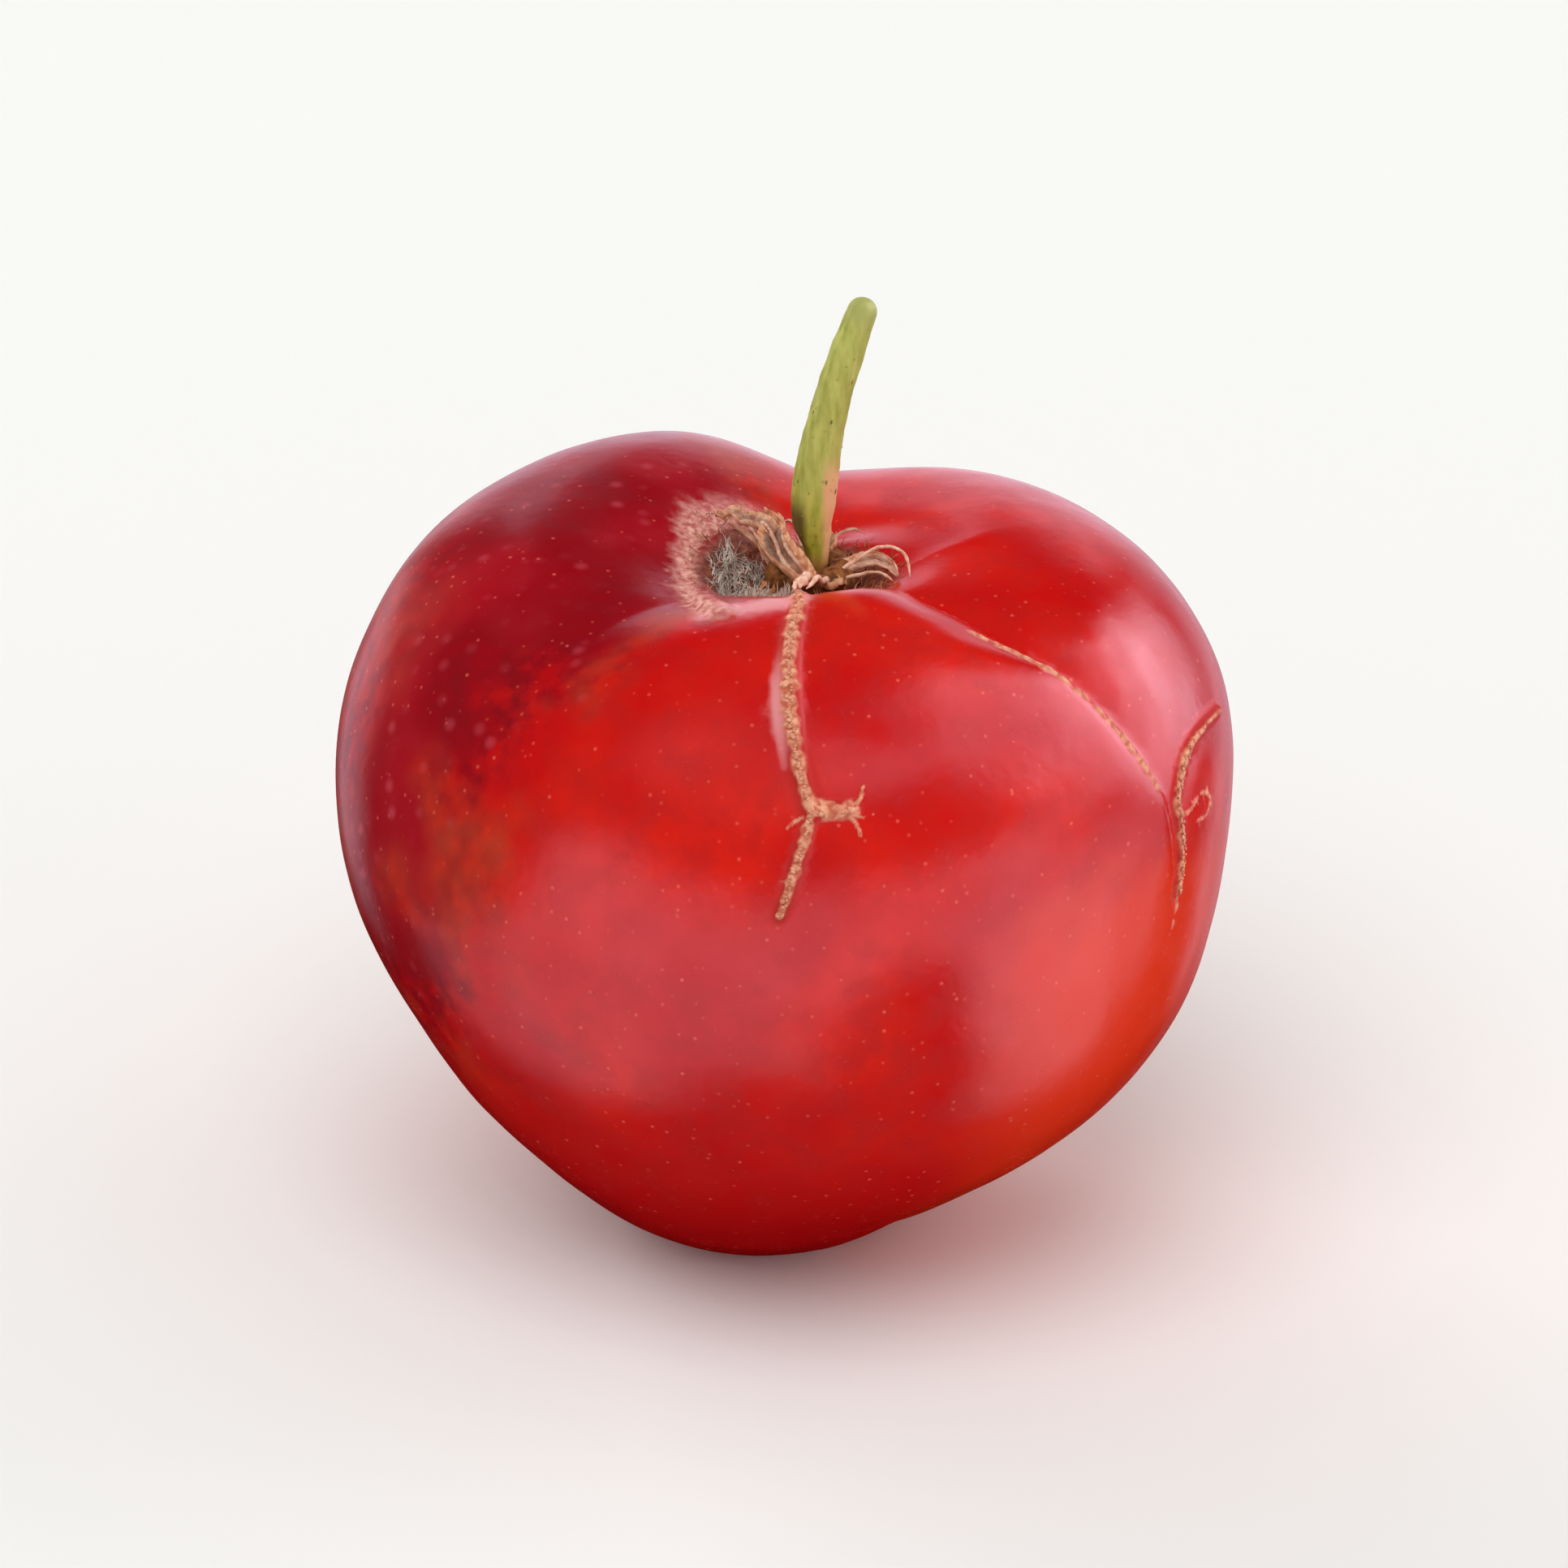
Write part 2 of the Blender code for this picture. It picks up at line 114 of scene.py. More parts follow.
camera_data = bpy.data.cameras.new("portrait")
camera_data.lens = LENS_MM
camera = new_object("portrait", camera_data)
tilt = math.radians(VIEW_HEIGHT_DEG)
distance = PICTURE_WIDTH * MM * LENS_MM / camera_data.sensor_width
camera.location = LOOK_AT + Vector((0, -math.cos(tilt), math.sin(tilt))) * distance
camera.rotation_euler = (math.radians(90) - tilt, 0, 0)
camera_data.clip_start = distance / 100
camera_data.clip_end = distance * 100
bpy.context.scene.camera = camera
print("camera distance in mm:", round(distance / MM))

# %% [markdown]
# ## The fruit's shape
# An acerola grows round three stones, and so its skin bulges in three lobes with a groove
# between each two. The shape is written as a rule: for every direction from the core, how far
# out the skin is. Each lobe has an outline at its own middle, and between two lobes one outline
# gives way to the next. Grooves, a pocket in the hollow and low swells are taken off or added.
# The values are the ones that the solid was made with, so the fine skin lies on the solid.

# %% Driving values of the shape
CORE = np.array((0.0, -0.29, 10.8))
CORE_RADIUS = 12.0                       # where distances along the skin are measured
CROWN_SHIFT = 0.75                       # the crown leans this far to the right,
CROWN_RISE = 9.0                         # in full at this height above the core
FOOT_SHIFT = -0.6                        # and the tip end to the left,
FOOT_START = 3.0                         # from this depth below the core
FOOT_DROP = 11.0                         # to this one
# Each lobe by the azimuth of its middle and its outline there: (polar angle, radius).
LOBES = {
    "front": (4, [(0, 8.1), (6, 8.15), (11, 8.55), (15.5, 9.6), (20, 10.45), (27, 11.1), (36, 11.75),
                  (60, 12.5), (90, 12.1), (122, 11.45), (138, 11.15), (160, 11.35), (180, 11.25)]),
    "right": (122, [(0, 8.1), (6, 8.15), (12, 8.7), (18, 9.6), (25, 10.4), (33, 11.15), (44, 12.05),
                    (66, 12.8), (90, 12.45), (120, 11.85), (135, 11.4), (158, 11.4), (180, 11.25)]),
    "left": (-118, [(0, 8.1), (6, 8.15), (12, 8.6), (18, 9.35), (25, 10.3), (33, 11.55), (44, 13.1),
                    (56, 13.95), (66, 13.75), (90, 12.4), (118, 10.85), (135, 10.7), (158, 11.2),
                    (180, 11.25)]),
}
LOBE_BLEND = (0.1, 0.9)                  # where one outline gives way to the next, as shares
# Each groove: its azimuth near the hollow, at the shoulder and at the foot, its depth and width,
# the share that is a sharp crease, where it ends, which side is wider, its depth at the tip, how
# much narrower its lower half is, and how high the lip stands along its narrow side.
GROOVES = {
    "right": dict(azimuths=(50, 62, 36), depth=1.0, width=2.2, crease=0.45, end=80, lean=0.5,
                  foot=0.2, narrowing=0.6, lip=0.28),
    "left": dict(azimuths=(-55, -50, -62), depth=0.6, width=2.6, crease=0.15, end=100, lean=-0.2,
                 foot=0.3, narrowing=0.0, lip=0.0),
    "back": dict(azimuths=(178, 184, 180), depth=1.85, width=3.0, crease=0.25, end=95, lean=-0.25,
                 foot=0.1, narrowing=0.0, lip=0.0),
}
CREASE_WIDTH = 0.35
LIP_WIDTH = 2.6
POCKET = dict(place=(13, -72), depth=0.75, width=1.25)
RIM_SWELL = dict(place=(24, 23), height=0.34, width=1.8)
# How fast each swell turns along X, Y and Z, where it starts, and its height.
SWELLS = [((3.1, 1.7, -2.3), 0.4, 0.07), ((-2.2, 3.9, 1.9), 2.1, 0.06),
          ((4.6, -2.8, 3.3), 4.0, 0.045)]

print("lobes:", list(LOBES), "and grooves:", list(GROOVES))

# %% Curves and directions
def ease(low, high, value):
    """0 below low, 1 above high, and an even curve between them. High may be the smaller."""
    share = np.clip((value - low) / (high - low), 0.0, 1.0)
    return share * share * (3.0 - 2.0 * share)


def through(knots, value):
    """A smooth curve through knots of (place, height), level at its two ends."""
    places, heights = np.array(knots, dtype=float).T
    steps = np.diff(places)
    slopes = np.diff(heights) / steps
    tangents = np.zeros(len(places))
    tangents[1:-1] = (slopes[:-1] * steps[1:] + slopes[1:] * steps[:-1]) / (steps[1:] + steps[:-1])
    index = np.clip(np.searchsorted(places, value) - 1, 0, len(steps) - 1)
    t = np.clip((value - places[index]) / steps[index], 0.0, 1.0)
    start = (2 * t**3 - 3 * t**2 + 1) * heights[index]
    start = start + (t**3 - 2 * t**2 + t) * steps[index] * tangents[index]
    end = (3 * t**2 - 2 * t**3) * heights[index + 1]
    end = end + (t**3 - t**2) * steps[index] * tangents[index + 1]
    return start + end


def unit(vectors):
    """The same vectors, each one long."""
    return vectors / np.linalg.norm(vectors, axis=1, keepdims=True)


def direction(polar, azimuth):
    """Unit vectors for places on the skin: degrees down from the top, and round from the front."""
    polar = np.radians(np.asarray(polar, dtype=float))
    azimuth = np.radians(np.asarray(azimuth, dtype=float))
    flat = np.sin(polar)
    return np.stack([flat * np.sin(azimuth), -flat * np.cos(azimuth), np.cos(polar)], axis=-1)


def angles(directions):
    """The polar angle and azimuth of unit vectors, in degrees."""
    polar = np.degrees(np.arccos(np.clip(directions[:, 2], -1, 1)))
    return polar, np.degrees(np.arctan2(directions[:, 0], -directions[:, 1]))


print("the front of the equator:", direction(90, 0).round(3))

# %% Lobes and grooves
def lobe_shares(azimuth):
    """How much of each lobe's outline counts at each azimuth. They add up to 1."""
    names = sorted(LOBES, key=lambda name: LOBES[name][0])
    shares = {name: np.zeros_like(azimuth) for name in names}
    for here, after in zip(names, names[1:] + names[:1]):
        span = (LOBES[after][0] - LOBES[here][0]) % 360
        way = ((azimuth - LOBES[here][0]) % 360) / span
        turned = ease(*LOBE_BLEND, way)
        shares[here] += np.where(way <= 1, 1 - turned, 0)
        shares[after] += np.where(way <= 1, turned, 0)
    total = sum(shares.values())
    return {name: share / total for name, share in shares.items()}


def groove_depth(polar, azimuth, radius):
    """How far the grooves cut in: a soft valley, a sharper crease along it, and a raised lip beside."""
    deepest = np.zeros_like(polar)
    lip = np.zeros_like(polar)
    for groove in GROOVES.values():
        near, shoulder, foot = groove["azimuths"]
        line = near + (shoulder - near) * ease(20, groove["end"], polar)
        line = line + (foot - shoulder) * ease(groove["end"], 140, polar)
        turn = (azimuth - line + 180) % 360 - 180
        across = np.radians(turn) * np.sin(np.radians(polar)) * radius
        lean = groove["lean"]
        wide_side = across * (1 if lean >= 0 else -1) > 0
        side = np.where(wide_side, 1 + abs(lean), 1 - 0.5 * abs(lean))
        width = groove["width"] * side * (1 - groove["narrowing"] * ease(32, 48, polar))
        valley = np.exp(-((across / width) ** 2))
        crease = np.exp(-np.sqrt(across**2 + 0.02) / (CREASE_WIDTH * side))
        shape = (1 - groove["crease"]) * valley + groove["crease"] * crease
        upper = groove["depth"] * ease(10, 27, polar) * (1 - ease(34, groove["end"], polar))
        lower = groove["foot"] * ease(115, 148, polar)
        deepest = np.maximum(deepest, upper * shape + lower * valley)
        swollen = groove["lip"] * ease(34, 48, polar) * (1 - ease(66, 84, polar))
        swollen = swollen * np.exp(-((across / LIP_WIDTH) ** 2)) * ease(0.0, 0.45, np.abs(across))
        lip = lip + np.where(wide_side, 0, swollen)
    return deepest - lip


print("back groove at the shoulder, mm:", groove_depth(*np.array([[33.0], [181.0], [12.0]])).round(2))

# %% [markdown]
# ## Cork scars
# Where the skin of a growing fruit cracks or rubs on a twig, it heals with cork: dry tan ridges,
# broken by cracks across them. They are drawn as paths over the skin. Each path is a smooth
# curve through a few places, and the distance to it says how thick the cork is. The main ridges
# stand out of the solid too; the thinner lines and the frayed rays at the fork are only here.

# %% Paths of the scars
RIDGE_SPREAD = 0.8                       # half of a ridge's foot, as a share of its width
FAR_END = (0.6, 1.0)                     # along this stretch of its path, as shares,
FAR_THINNER = 0.4                        # a scar gets thinner by this share
RIDGES = [
    dict(name="front line", width=0.52, height=0.20,
         places=[(20, -5), (26, -4.6), (32.5, -5.2), (39, -4.7), (46, -3.5), (51, -2), (58, 0.7)]),
    dict(name="front fork right", width=0.38, height=0.18,
         places=[(58, 0.7), (57.5, 4), (57.7, 6.8)]),
    dict(name="front fork low", width=0.34, height=0.16,
         places=[(58, 0.7), (61.3, 0.1), (64.4, -0.7), (68, -1.4), (71, -2.1)]),
    # This one starts thin, and its first ten points carry no flakes.
    dict(name="right line", width=0.34, height=0.15, start=0.35, bare=10,
         places=[(66, 82.5), (64.7, 75), (65, 69), (67.5, 65), (70.5, 63), (74.7, 63), (82, 61.7)]),
]
# The swollen left rim of the hollow stands out too, without cork.
HOLLOW_RIM = dict(name="hollow rim", width=0.75, height=0.22,
                  places=[(27, -30), (23, -48), (19.5, -70), (18.5, -95), (19, -120), (20, -140)])
# Thinner cork, level with the skin or nearly so.
FINE_LINES = [
    dict(name="groove lip", width=0.42, height=0.02, broken=0.2,
         places=[(35, 44.6), (40, 47.2), (44.5, 49.6), (50.3, 52.4), (56, 54.6), (61, 56.2), (66, 58)]),
    dict(name="right loop", width=0.11, height=0.03, broken=0.2,
         places=[(70.6, 62.6), (72.6, 65.6), (71.9, 70), (73.6, 73), (75.4, 71.6), (74.9, 68.4)]),
    dict(name="right tail", width=0.12, height=0.02, broken=0.6,
         places=[(81.5, 61.6), (84, 62.2), (87, 61.5)]),
    dict(name="ray up", width=0.12, height=0.04, broken=0.2,
         places=[(57.7, 6.5), (56.2, 8.2), (54.7, 8.6)]),
    dict(name="ray down", width=0.10, height=0.04, broken=0.3,
         places=[(57.7, 5.5), (59.3, 7.4), (61, 8.2)]),
    dict(name="ray left", width=0.11, height=0.04, broken=0.3,
         places=[(58, 0.7), (58.8, -1.2), (59.8, -2.6)]),
    dict(name="fork crust", width=0.6, height=0.05, broken=0.35,
         places=[(57.8, 1.5), (57.5, 4), (57.8, 7.4)]),
    dict(name="ray right", width=0.07, height=0.03, broken=0.3,
         places=[(57.6, 6), (58.6, 7.8), (58.4, 10.2)]),
    dict(name="back line", width=0.16, height=0.04, broken=0.4,
         places=[(62, 150), (70, 146), (78, 148), (86, 143), (94, 145)]),
    dict(name="left back line", width=0.13, height=0.03, broken=0.5,
         places=[(62, -128), (68, -124), (75, -126), (80, -121)]),
]


def smooth_curve(places, steps):
    """Points along a Catmull-Rom curve, which passes through every place and bends evenly."""
    knots = np.array(places, dtype=float)
    knots = np.vstack([2 * knots[0] - knots[1], knots, 2 * knots[-1] - knots[-2]])
    found = []
    for a, b, c, d in zip(knots, knots[1:], knots[2:], knots[3:]):
        for t in np.arange(steps) / steps:
            found.append(0.5 * (2 * b + (c - a) * t + (2 * a - 5 * b + 4 * c - d) * t**2
                                + (3 * b - a - 3 * c + d) * t**3))
    return np.array(found + [knots[-2]])


def smooth_path(places):
    """Directions along an even curve through places on the skin."""
    return unit(smooth_curve(direction(*np.array(places, dtype=float).T), 5))


def from_path(directions, path):
    """Distance in mm from each direction to a path, and how far along it that is, 0 to 1."""
    nearest = np.full(len(directions), 1e9)
    along = np.zeros(len(directions))
    for index, (start, end) in enumerate(zip(path, path[1:])):
        run = end - start
        share = np.clip((directions - start) @ run / (run @ run), 0.0, 1.0)
        gap = np.linalg.norm(directions - start - share[:, None] * run, axis=1) * CORE_RADIUS
        closer = gap < nearest
        nearest = np.where(closer, gap, nearest)
        along = np.where(closer, (index + share) / (len(path) - 1), along)
    return nearest, along


for scar in RIDGES + [HOLLOW_RIM] + FINE_LINES:
    scar["path"] = smooth_path(scar["places"])
    scar["length"] = np.linalg.norm(np.diff(scar["path"], axis=0), axis=1).sum() * CORE_RADIUS
print("scar lengths in mm:", {scar["name"]: round(float(scar["length"]), 1) for scar in RIDGES})

# %% The skin's main form
def ridge_height(directions):
    """How far the main ridges of cork stand out, thinner towards their far ends."""
    height = np.zeros(len(directions))
    for scar in RIDGES + [HOLLOW_RIM]:
        gap, along = from_path(directions, scar["path"])
        half = RIDGE_SPREAD * scar["width"] * (1 - FAR_THINNER * ease(*FAR_END, along))
        height = np.maximum(height, scar["height"] * (1 - ease(0.15, 1.0, gap / half)))
    return height


def bell(directions, spot):
    """1 at a spot's place, falling away evenly over about its width."""
    gap = np.linalg.norm(directions - direction(*spot["place"]), axis=1) * CORE_RADIUS
    return np.exp(-((gap / spot["width"]) ** 2))


def skin(directions, extra=0.0):
    """Points of the skin, one for each direction from the core. Extra is added to the radius."""
    polar, azimuth = angles(directions)
    shares = lobe_shares(azimuth)
    radius = sum(shares[name] * through(outline, polar) for name, (_, outline) in LOBES.items())
    radius = radius - groove_depth(polar, azimuth, radius)
    radius = radius - POCKET["depth"] * bell(directions, POCKET)
    radius = radius + RIM_SWELL["height"] * bell(directions, RIM_SWELL)
    away_from_hollow = ease(18, 40, polar)
    for turns, start, height in SWELLS:
        radius = radius + height * away_from_hollow * np.sin(directions @ np.array(turns) + start)
    points = directions * (radius + ridge_height(directions) + extra)[:, None]
    lean = CROWN_SHIFT * ease(0, CROWN_RISE, points[:, 2])
    lean = lean + FOOT_SHIFT * ease(-FOOT_START, -FOOT_DROP, points[:, 2])
    points[:, 0] += lean
    return points + CORE


print("skin at the front of the equator, mm:", skin(direction([90], [0])).round(2))

# %% [markdown]
# ## Fine relief and where each finish lies
# A real skin is never perfectly smooth: it ripples a little from lenticel to lenticel, and that
# is what breaks the edges of a reflection. The cork is crusty, with a crack across it every third
# of a millimetre. Both are real geometry here.
# The same masks are stored on the mesh's points as attributes, and the material reads them.

# %% Grain and masks
CRACK_EVERY = 0.36                       # along a scar
HOLLOW_EDGE = 15.5                       # polar angle where the dry lining gives way to skin


def grain(points, size, start=0.0):
    """Even, smooth, random values from -1 to 1 that change over about a size in millimetres."""
    return np.array([noise.noise(Vector(point)) for point in points / size + start])


def cork_cover(directions, ragged):
    """Cork at each direction: its cover, cracks across it, fine height, and the dull flank beside."""
    cover, crack, height, flank = np.zeros((4, len(directions)))
    for scar in RIDGES + FINE_LINES:
        gap, along = from_path(directions, scar["path"])
        run = along * scar["length"]
        half = 0.42 * scar["width"] * (1 - FAR_THINNER * ease(*FAR_END, along)) * (1 + 0.6 * ragged)
        start = scar.get("start", 1.0)
        half = half * (start + (1 - start) * ease(0.1, 0.5, along))
        here = 1 - ease(0.7, 1.25, gap / half)
        if "broken" in scar:
            here = here * ease(scar["broken"] - 0.75, scar["broken"] - 0.45, ragged)
            height = np.maximum(height, here * scar["height"])
        else:
            flank = np.maximum(flank, 1 - ease(0.3, 1.3, gap / (RIDGE_SPREAD * scar["width"])))
        beat = np.abs((run / CRACK_EVERY + 0.5 * ragged) % 1 - 0.5) * 2
        crack = np.where(here > cover, (1 - ease(0.12, 0.5, beat)) * here, crack)
        cover = np.maximum(cover, here)
    return cover, crack, height, flank


def crimson_share(polar, azimuth, ragged):
    """1 on the dark left lobe, 0 on the orange-red front, with a soft and uneven border."""
    border = through([(20, -24), (27, -34), (32, -34), (44, -46), (56, -52.5), (66, -51.5), (79, -47),
                      (94, -46), (119, -55), (150, -62)], polar)
    behind = 1 - 0.5 * ease(70, 88, -azimuth) * ease(44, 66, polar)
    behind = behind * (1 - ease(150, 176, -azimuth))
    return ease(-15, 19, border - azimuth + 16 * ragged) * behind * (1 - ease(86, 116, polar))


# A pale pink streak left of the front scar, and a painted highlight along the rim's left front.
STREAK = smooth_path([(34, -7.4), (40, -7.2), (46, -5.9), (52, -4.1)])
RIM_FRONT_HIGHLIGHT = smooth_path([(27.5, -35), (25, -24), (23, -13), (22, -6)])
PALEST = 0.8


def pale_streak_and_rim_highlight(directions, polar, ragged):
    """Pale pink painted on the skin: a streak left of the front scar, and a painted highlight on the rim's
    left front.
    """
    streak, _ = from_path(directions, STREAK)
    rim, _ = from_path(directions, RIM_FRONT_HIGHLIGHT)
    frayed = 1 + 0.4 * ragged
    taper = ease(33, 43, polar) * (1 - ease(44, 56, polar))
    streak = PALEST * taper * (1 - ease(0.04, 0.3, streak * frayed / (0.4 + 0.6 * taper)))
    return np.maximum(streak, PALEST * (1 - ease(0.15, 0.75, rim * frayed)))


def russet_share(polar, azimuth, ragged):
    """The tan, frayed ring on the left and behind the hollow."""
    middle = through([(-180, 22), (-153, 24.5), (-130, 23.4), (-105, 21.4), (-78, 21.4), (-48, 25),
                      (-28, 27.5)], np.clip(azimuth, -180, -28))
    reach = 2.5 + 1.2 * ragged + 1.6 * ease(-105, -140, azimuth)
    band = 1 - ease(0.2, 1.25, np.abs(polar - middle) / np.maximum(reach, 0.6))
    side = ease(-22, -33, azimuth) * (1 - 0.6 * ease(-140, -170, azimuth))
    return band * side


print("grain at three places:", grain(np.eye(3), 0.38).round(2))

# %% [markdown]
# ## Making the skin's mesh
# The mesh starts as a sphere made of triangles (an icosphere), whose points stand for directions,
# and edges are halved where small features need it: along the cork and in the hollow. Only then
# is each point moved out to the skin. That way no triangle is wasted on the plain sides, and the
# piece stays under 200,000 triangles. Below, the fruit is cut level where it stands.

# %% Mesh of directions
EDGE_PLAIN = 0.3
EDGE_HOLLOW = 0.14
EDGE_FRAYED = 0.1                        # on the frayed left rim of the hollow
EDGE_CORK = 0.075


def edge_allowed(directions):
    """The longest edge allowed round each direction."""
    polar, azimuth = angles(directions)
    allowed = np.full(len(directions), EDGE_PLAIN)
    allowed = np.where(polar < 24, EDGE_HOLLOW, allowed)
    frayed = (polar > 14) & (polar < 28) & (azimuth < -20) & (azimuth > -165)
    allowed = np.where(frayed, EDGE_FRAYED, allowed)
    near = [(STREAK, 0.35)]
    near += [(scar["path"], RIDGE_SPREAD * scar["width"]) for scar in RIDGES + [HOLLOW_RIM]]
    near += [(scar["path"], 1.2 * scar["width"]) for scar in FINE_LINES]
    for path, reach in near:
        allowed = np.where(from_path(directions, path)[0] < reach, EDGE_CORK, allowed)
    return allowed


def split_long_edges(mesh, rounds=3):
    """Halve every edge that is longer than allowed there. The points stay on the sphere."""
    for _ in range(rounds):
        ends = np.array([[vertex.index for vertex in edge.verts] for edge in mesh.edges])
        places = np.array([vertex.co for vertex in mesh.verts])
        middles = places[ends].mean(axis=1)
        lengths = np.linalg.norm(places[ends[:, 0]] - places[ends[:, 1]], axis=1) * CORE_RADIUS
        too_long = lengths > edge_allowed(unit(middles))
        chosen = [edge for edge, long in zip(list(mesh.edges), too_long) if long]
        if not chosen:
            return
        bmesh.ops.subdivide_edges(mesh, edges=chosen, cuts=1)
        bmesh.ops.triangulate(mesh, faces=[face for face in mesh.faces if len(face.verts) > 3])
        for vertex in mesh.verts:
            vertex.co.normalize()
        mesh.verts.index_update()


sphere = bmesh.new()
bmesh.ops.create_icosphere(sphere, subdivisions=7, radius=1.0)
sphere.verts.index_update()
split_long_edges(sphere)
directions = np.array([vertex.co for vertex in sphere.verts])
print("triangles in the skin:", len(sphere.faces))

# %% Relief and masks on the points
on_core = directions * CORE_RADIUS
ragged = grain(on_core, 0.38, 5.0) + 0.5 * grain(on_core, 0.17, 9.0)
uneven = grain(on_core, 2.6, 21.0) + 0.6 * grain(on_core, 1.1, 13.0)
polar, azimuth = angles(directions)
cork, crack, fine_height, flank = cork_cover(directions, ragged)
russet = russet_share(polar, azimuth, ragged + 0.6 * uneven)
# The dry tissue of the hollow reaches higher up its left wall, where its dark brown is painted shadow, and
# highest behind.
shaded_left_wall = 4.4 * ease(-44, -62, azimuth) * (1 - ease(-163, -178, azimuth))
back_wall = 2.6 * ease(-118, -138, azimuth) * (1 - ease(-168, -180, azimuth))
lining_and_shade = 1 - ease(HOLLOW_EDGE - 2.5, HOLLOW_EDGE + 1.0, polar - 1.2 * uneven - shaded_left_wall - back_wall)
front_right = ease(10, 40, azimuth) * (1 - ease(100, 140, azimuth))
right_lobe = ease(20, 44, azimuth) * (1 - ease(100, 130, azimuth))
ripple = 0.05 * grain(on_core, 3.6, 2.0) + 0.010 * grain(on_core, 1.3, 7.0)
dry = np.maximum(np.maximum(cork, russet), lining_and_shade)
relief = ripple * ease(16, 30, polar)
relief += fine_height + 0.035 * dry * ragged - 0.04 * crack
relief += 0.05 * np.maximum(russet, lining_and_shade) * grain(on_core, 0.28, 31.0)
masks = {
    "cork": cork,
    "crack": crack,
    "flank": flank,
    "russet": russet,
    "lining_and_shade": lining_and_shade,
    "crimson": crimson_share(polar, azimuth, uneven),
    "pale": pale_streak_and_rim_highlight(directions, polar, ragged),
    # Painted shade: the red deepens towards the bottom, less so at the front right.
    "deep": ease(96, 128, polar + 4 * uneven) * (1 - 0.75 * front_right),
    "warm": ease(70, 84, polar + 5 * uneven) * right_lobe,
}
print("share of the skin under cork:", round(float((cork > 0.5).mean()), 3))

# %% Skin piece
def to_object(mesh, name):
    """Turn a bmesh in metres into an object of the scene, smooth shaded."""
    data = bpy.data.meshes.new(name)
    mesh.to_mesh(data)
    mesh.free()
    data.shade_smooth()
    return new_object(name, data)


points = skin(directions, relief) * MM
layers = {name: sphere.verts.layers.float.new(name) for name in masks}
for name, values in masks.items():
    for vertex, value in zip(sphere.verts, values):
        vertex[layers[name]] = value
for vertex, point in zip(sphere.verts, points):
    vertex.co = point
cut = bmesh.ops.bisect_plane(sphere, geom=sphere.verts[:] + sphere.edges[:] + sphere.faces[:],
                             plane_co=(0, 0, 0), plane_no=(0, 0, -1), clear_outer=True)
rim = [item for item in cut["geom_cut"] if isinstance(item, bmesh.types.BMEdge)]
bmesh.ops.contextual_create(sphere, geom=rim)
bmesh.ops.triangulate(sphere, faces=[face for face in sphere.faces if len(face.verts) > 3])
fruit = to_object(sphere, "fruit_skin")
print("skin piece:", len(fruit.data.polygons), "triangles")

# %% [markdown]
# ## Waxy skin
# The skin is thin and covered with natural wax, over flesh full of red pigment. The wax gives a
# clear but slightly soft reflection, with an IOR near 1.5 and a roughness near a quarter. The
# colour runs from orange red in front to dark crimson on the left lobe, with pale lenticels, the
# pores that the fruit breathed through. Cork is dry, tan and dull.

# %% Waxy skin material
def patches(tree, place, size, detail, low=0.35, high=0.65, least=0.0, most=1.0):
    """Cloudy noise in patches of a size in mm, and the same spread from least to most."""
    cloud = add(tree, "ShaderNodeTexNoise", {"Vector": place, "Scale": 1 / (size * MM), "Detail": detail})
    spread = add(tree, "ShaderNodeMapRange", {"Value": cloud, 1: low, 2: high, 3: least, 4: most})
    return cloud, spread


def speckles(tree, place, every, edge, core, rarest, brightest):
    """Round soft dots, one in each random cell of a size in mm, some bright and some hardly seen."""
    cells = add(tree, "ShaderNodeTexVoronoi", {"Vector": place, "Scale": 1 / (every * MM)})
    dot = add(tree, "ShaderNodeMapRange", {"Value": cells, 1: edge, 2: core},
              interpolation_type="SMOOTHSTEP")
    luck = add(tree, "ShaderNodeSeparateColor", {"Color": cells.outputs["Color"]})
    strength = add(tree, "ShaderNodeMapRange", {"Value": luck, 1: rarest, 2: 1.0, 3: 0.0, 4: brightest})
    return add(tree, "ShaderNodeMath", {0: dot, 1: strength}, operation="MULTIPLY")


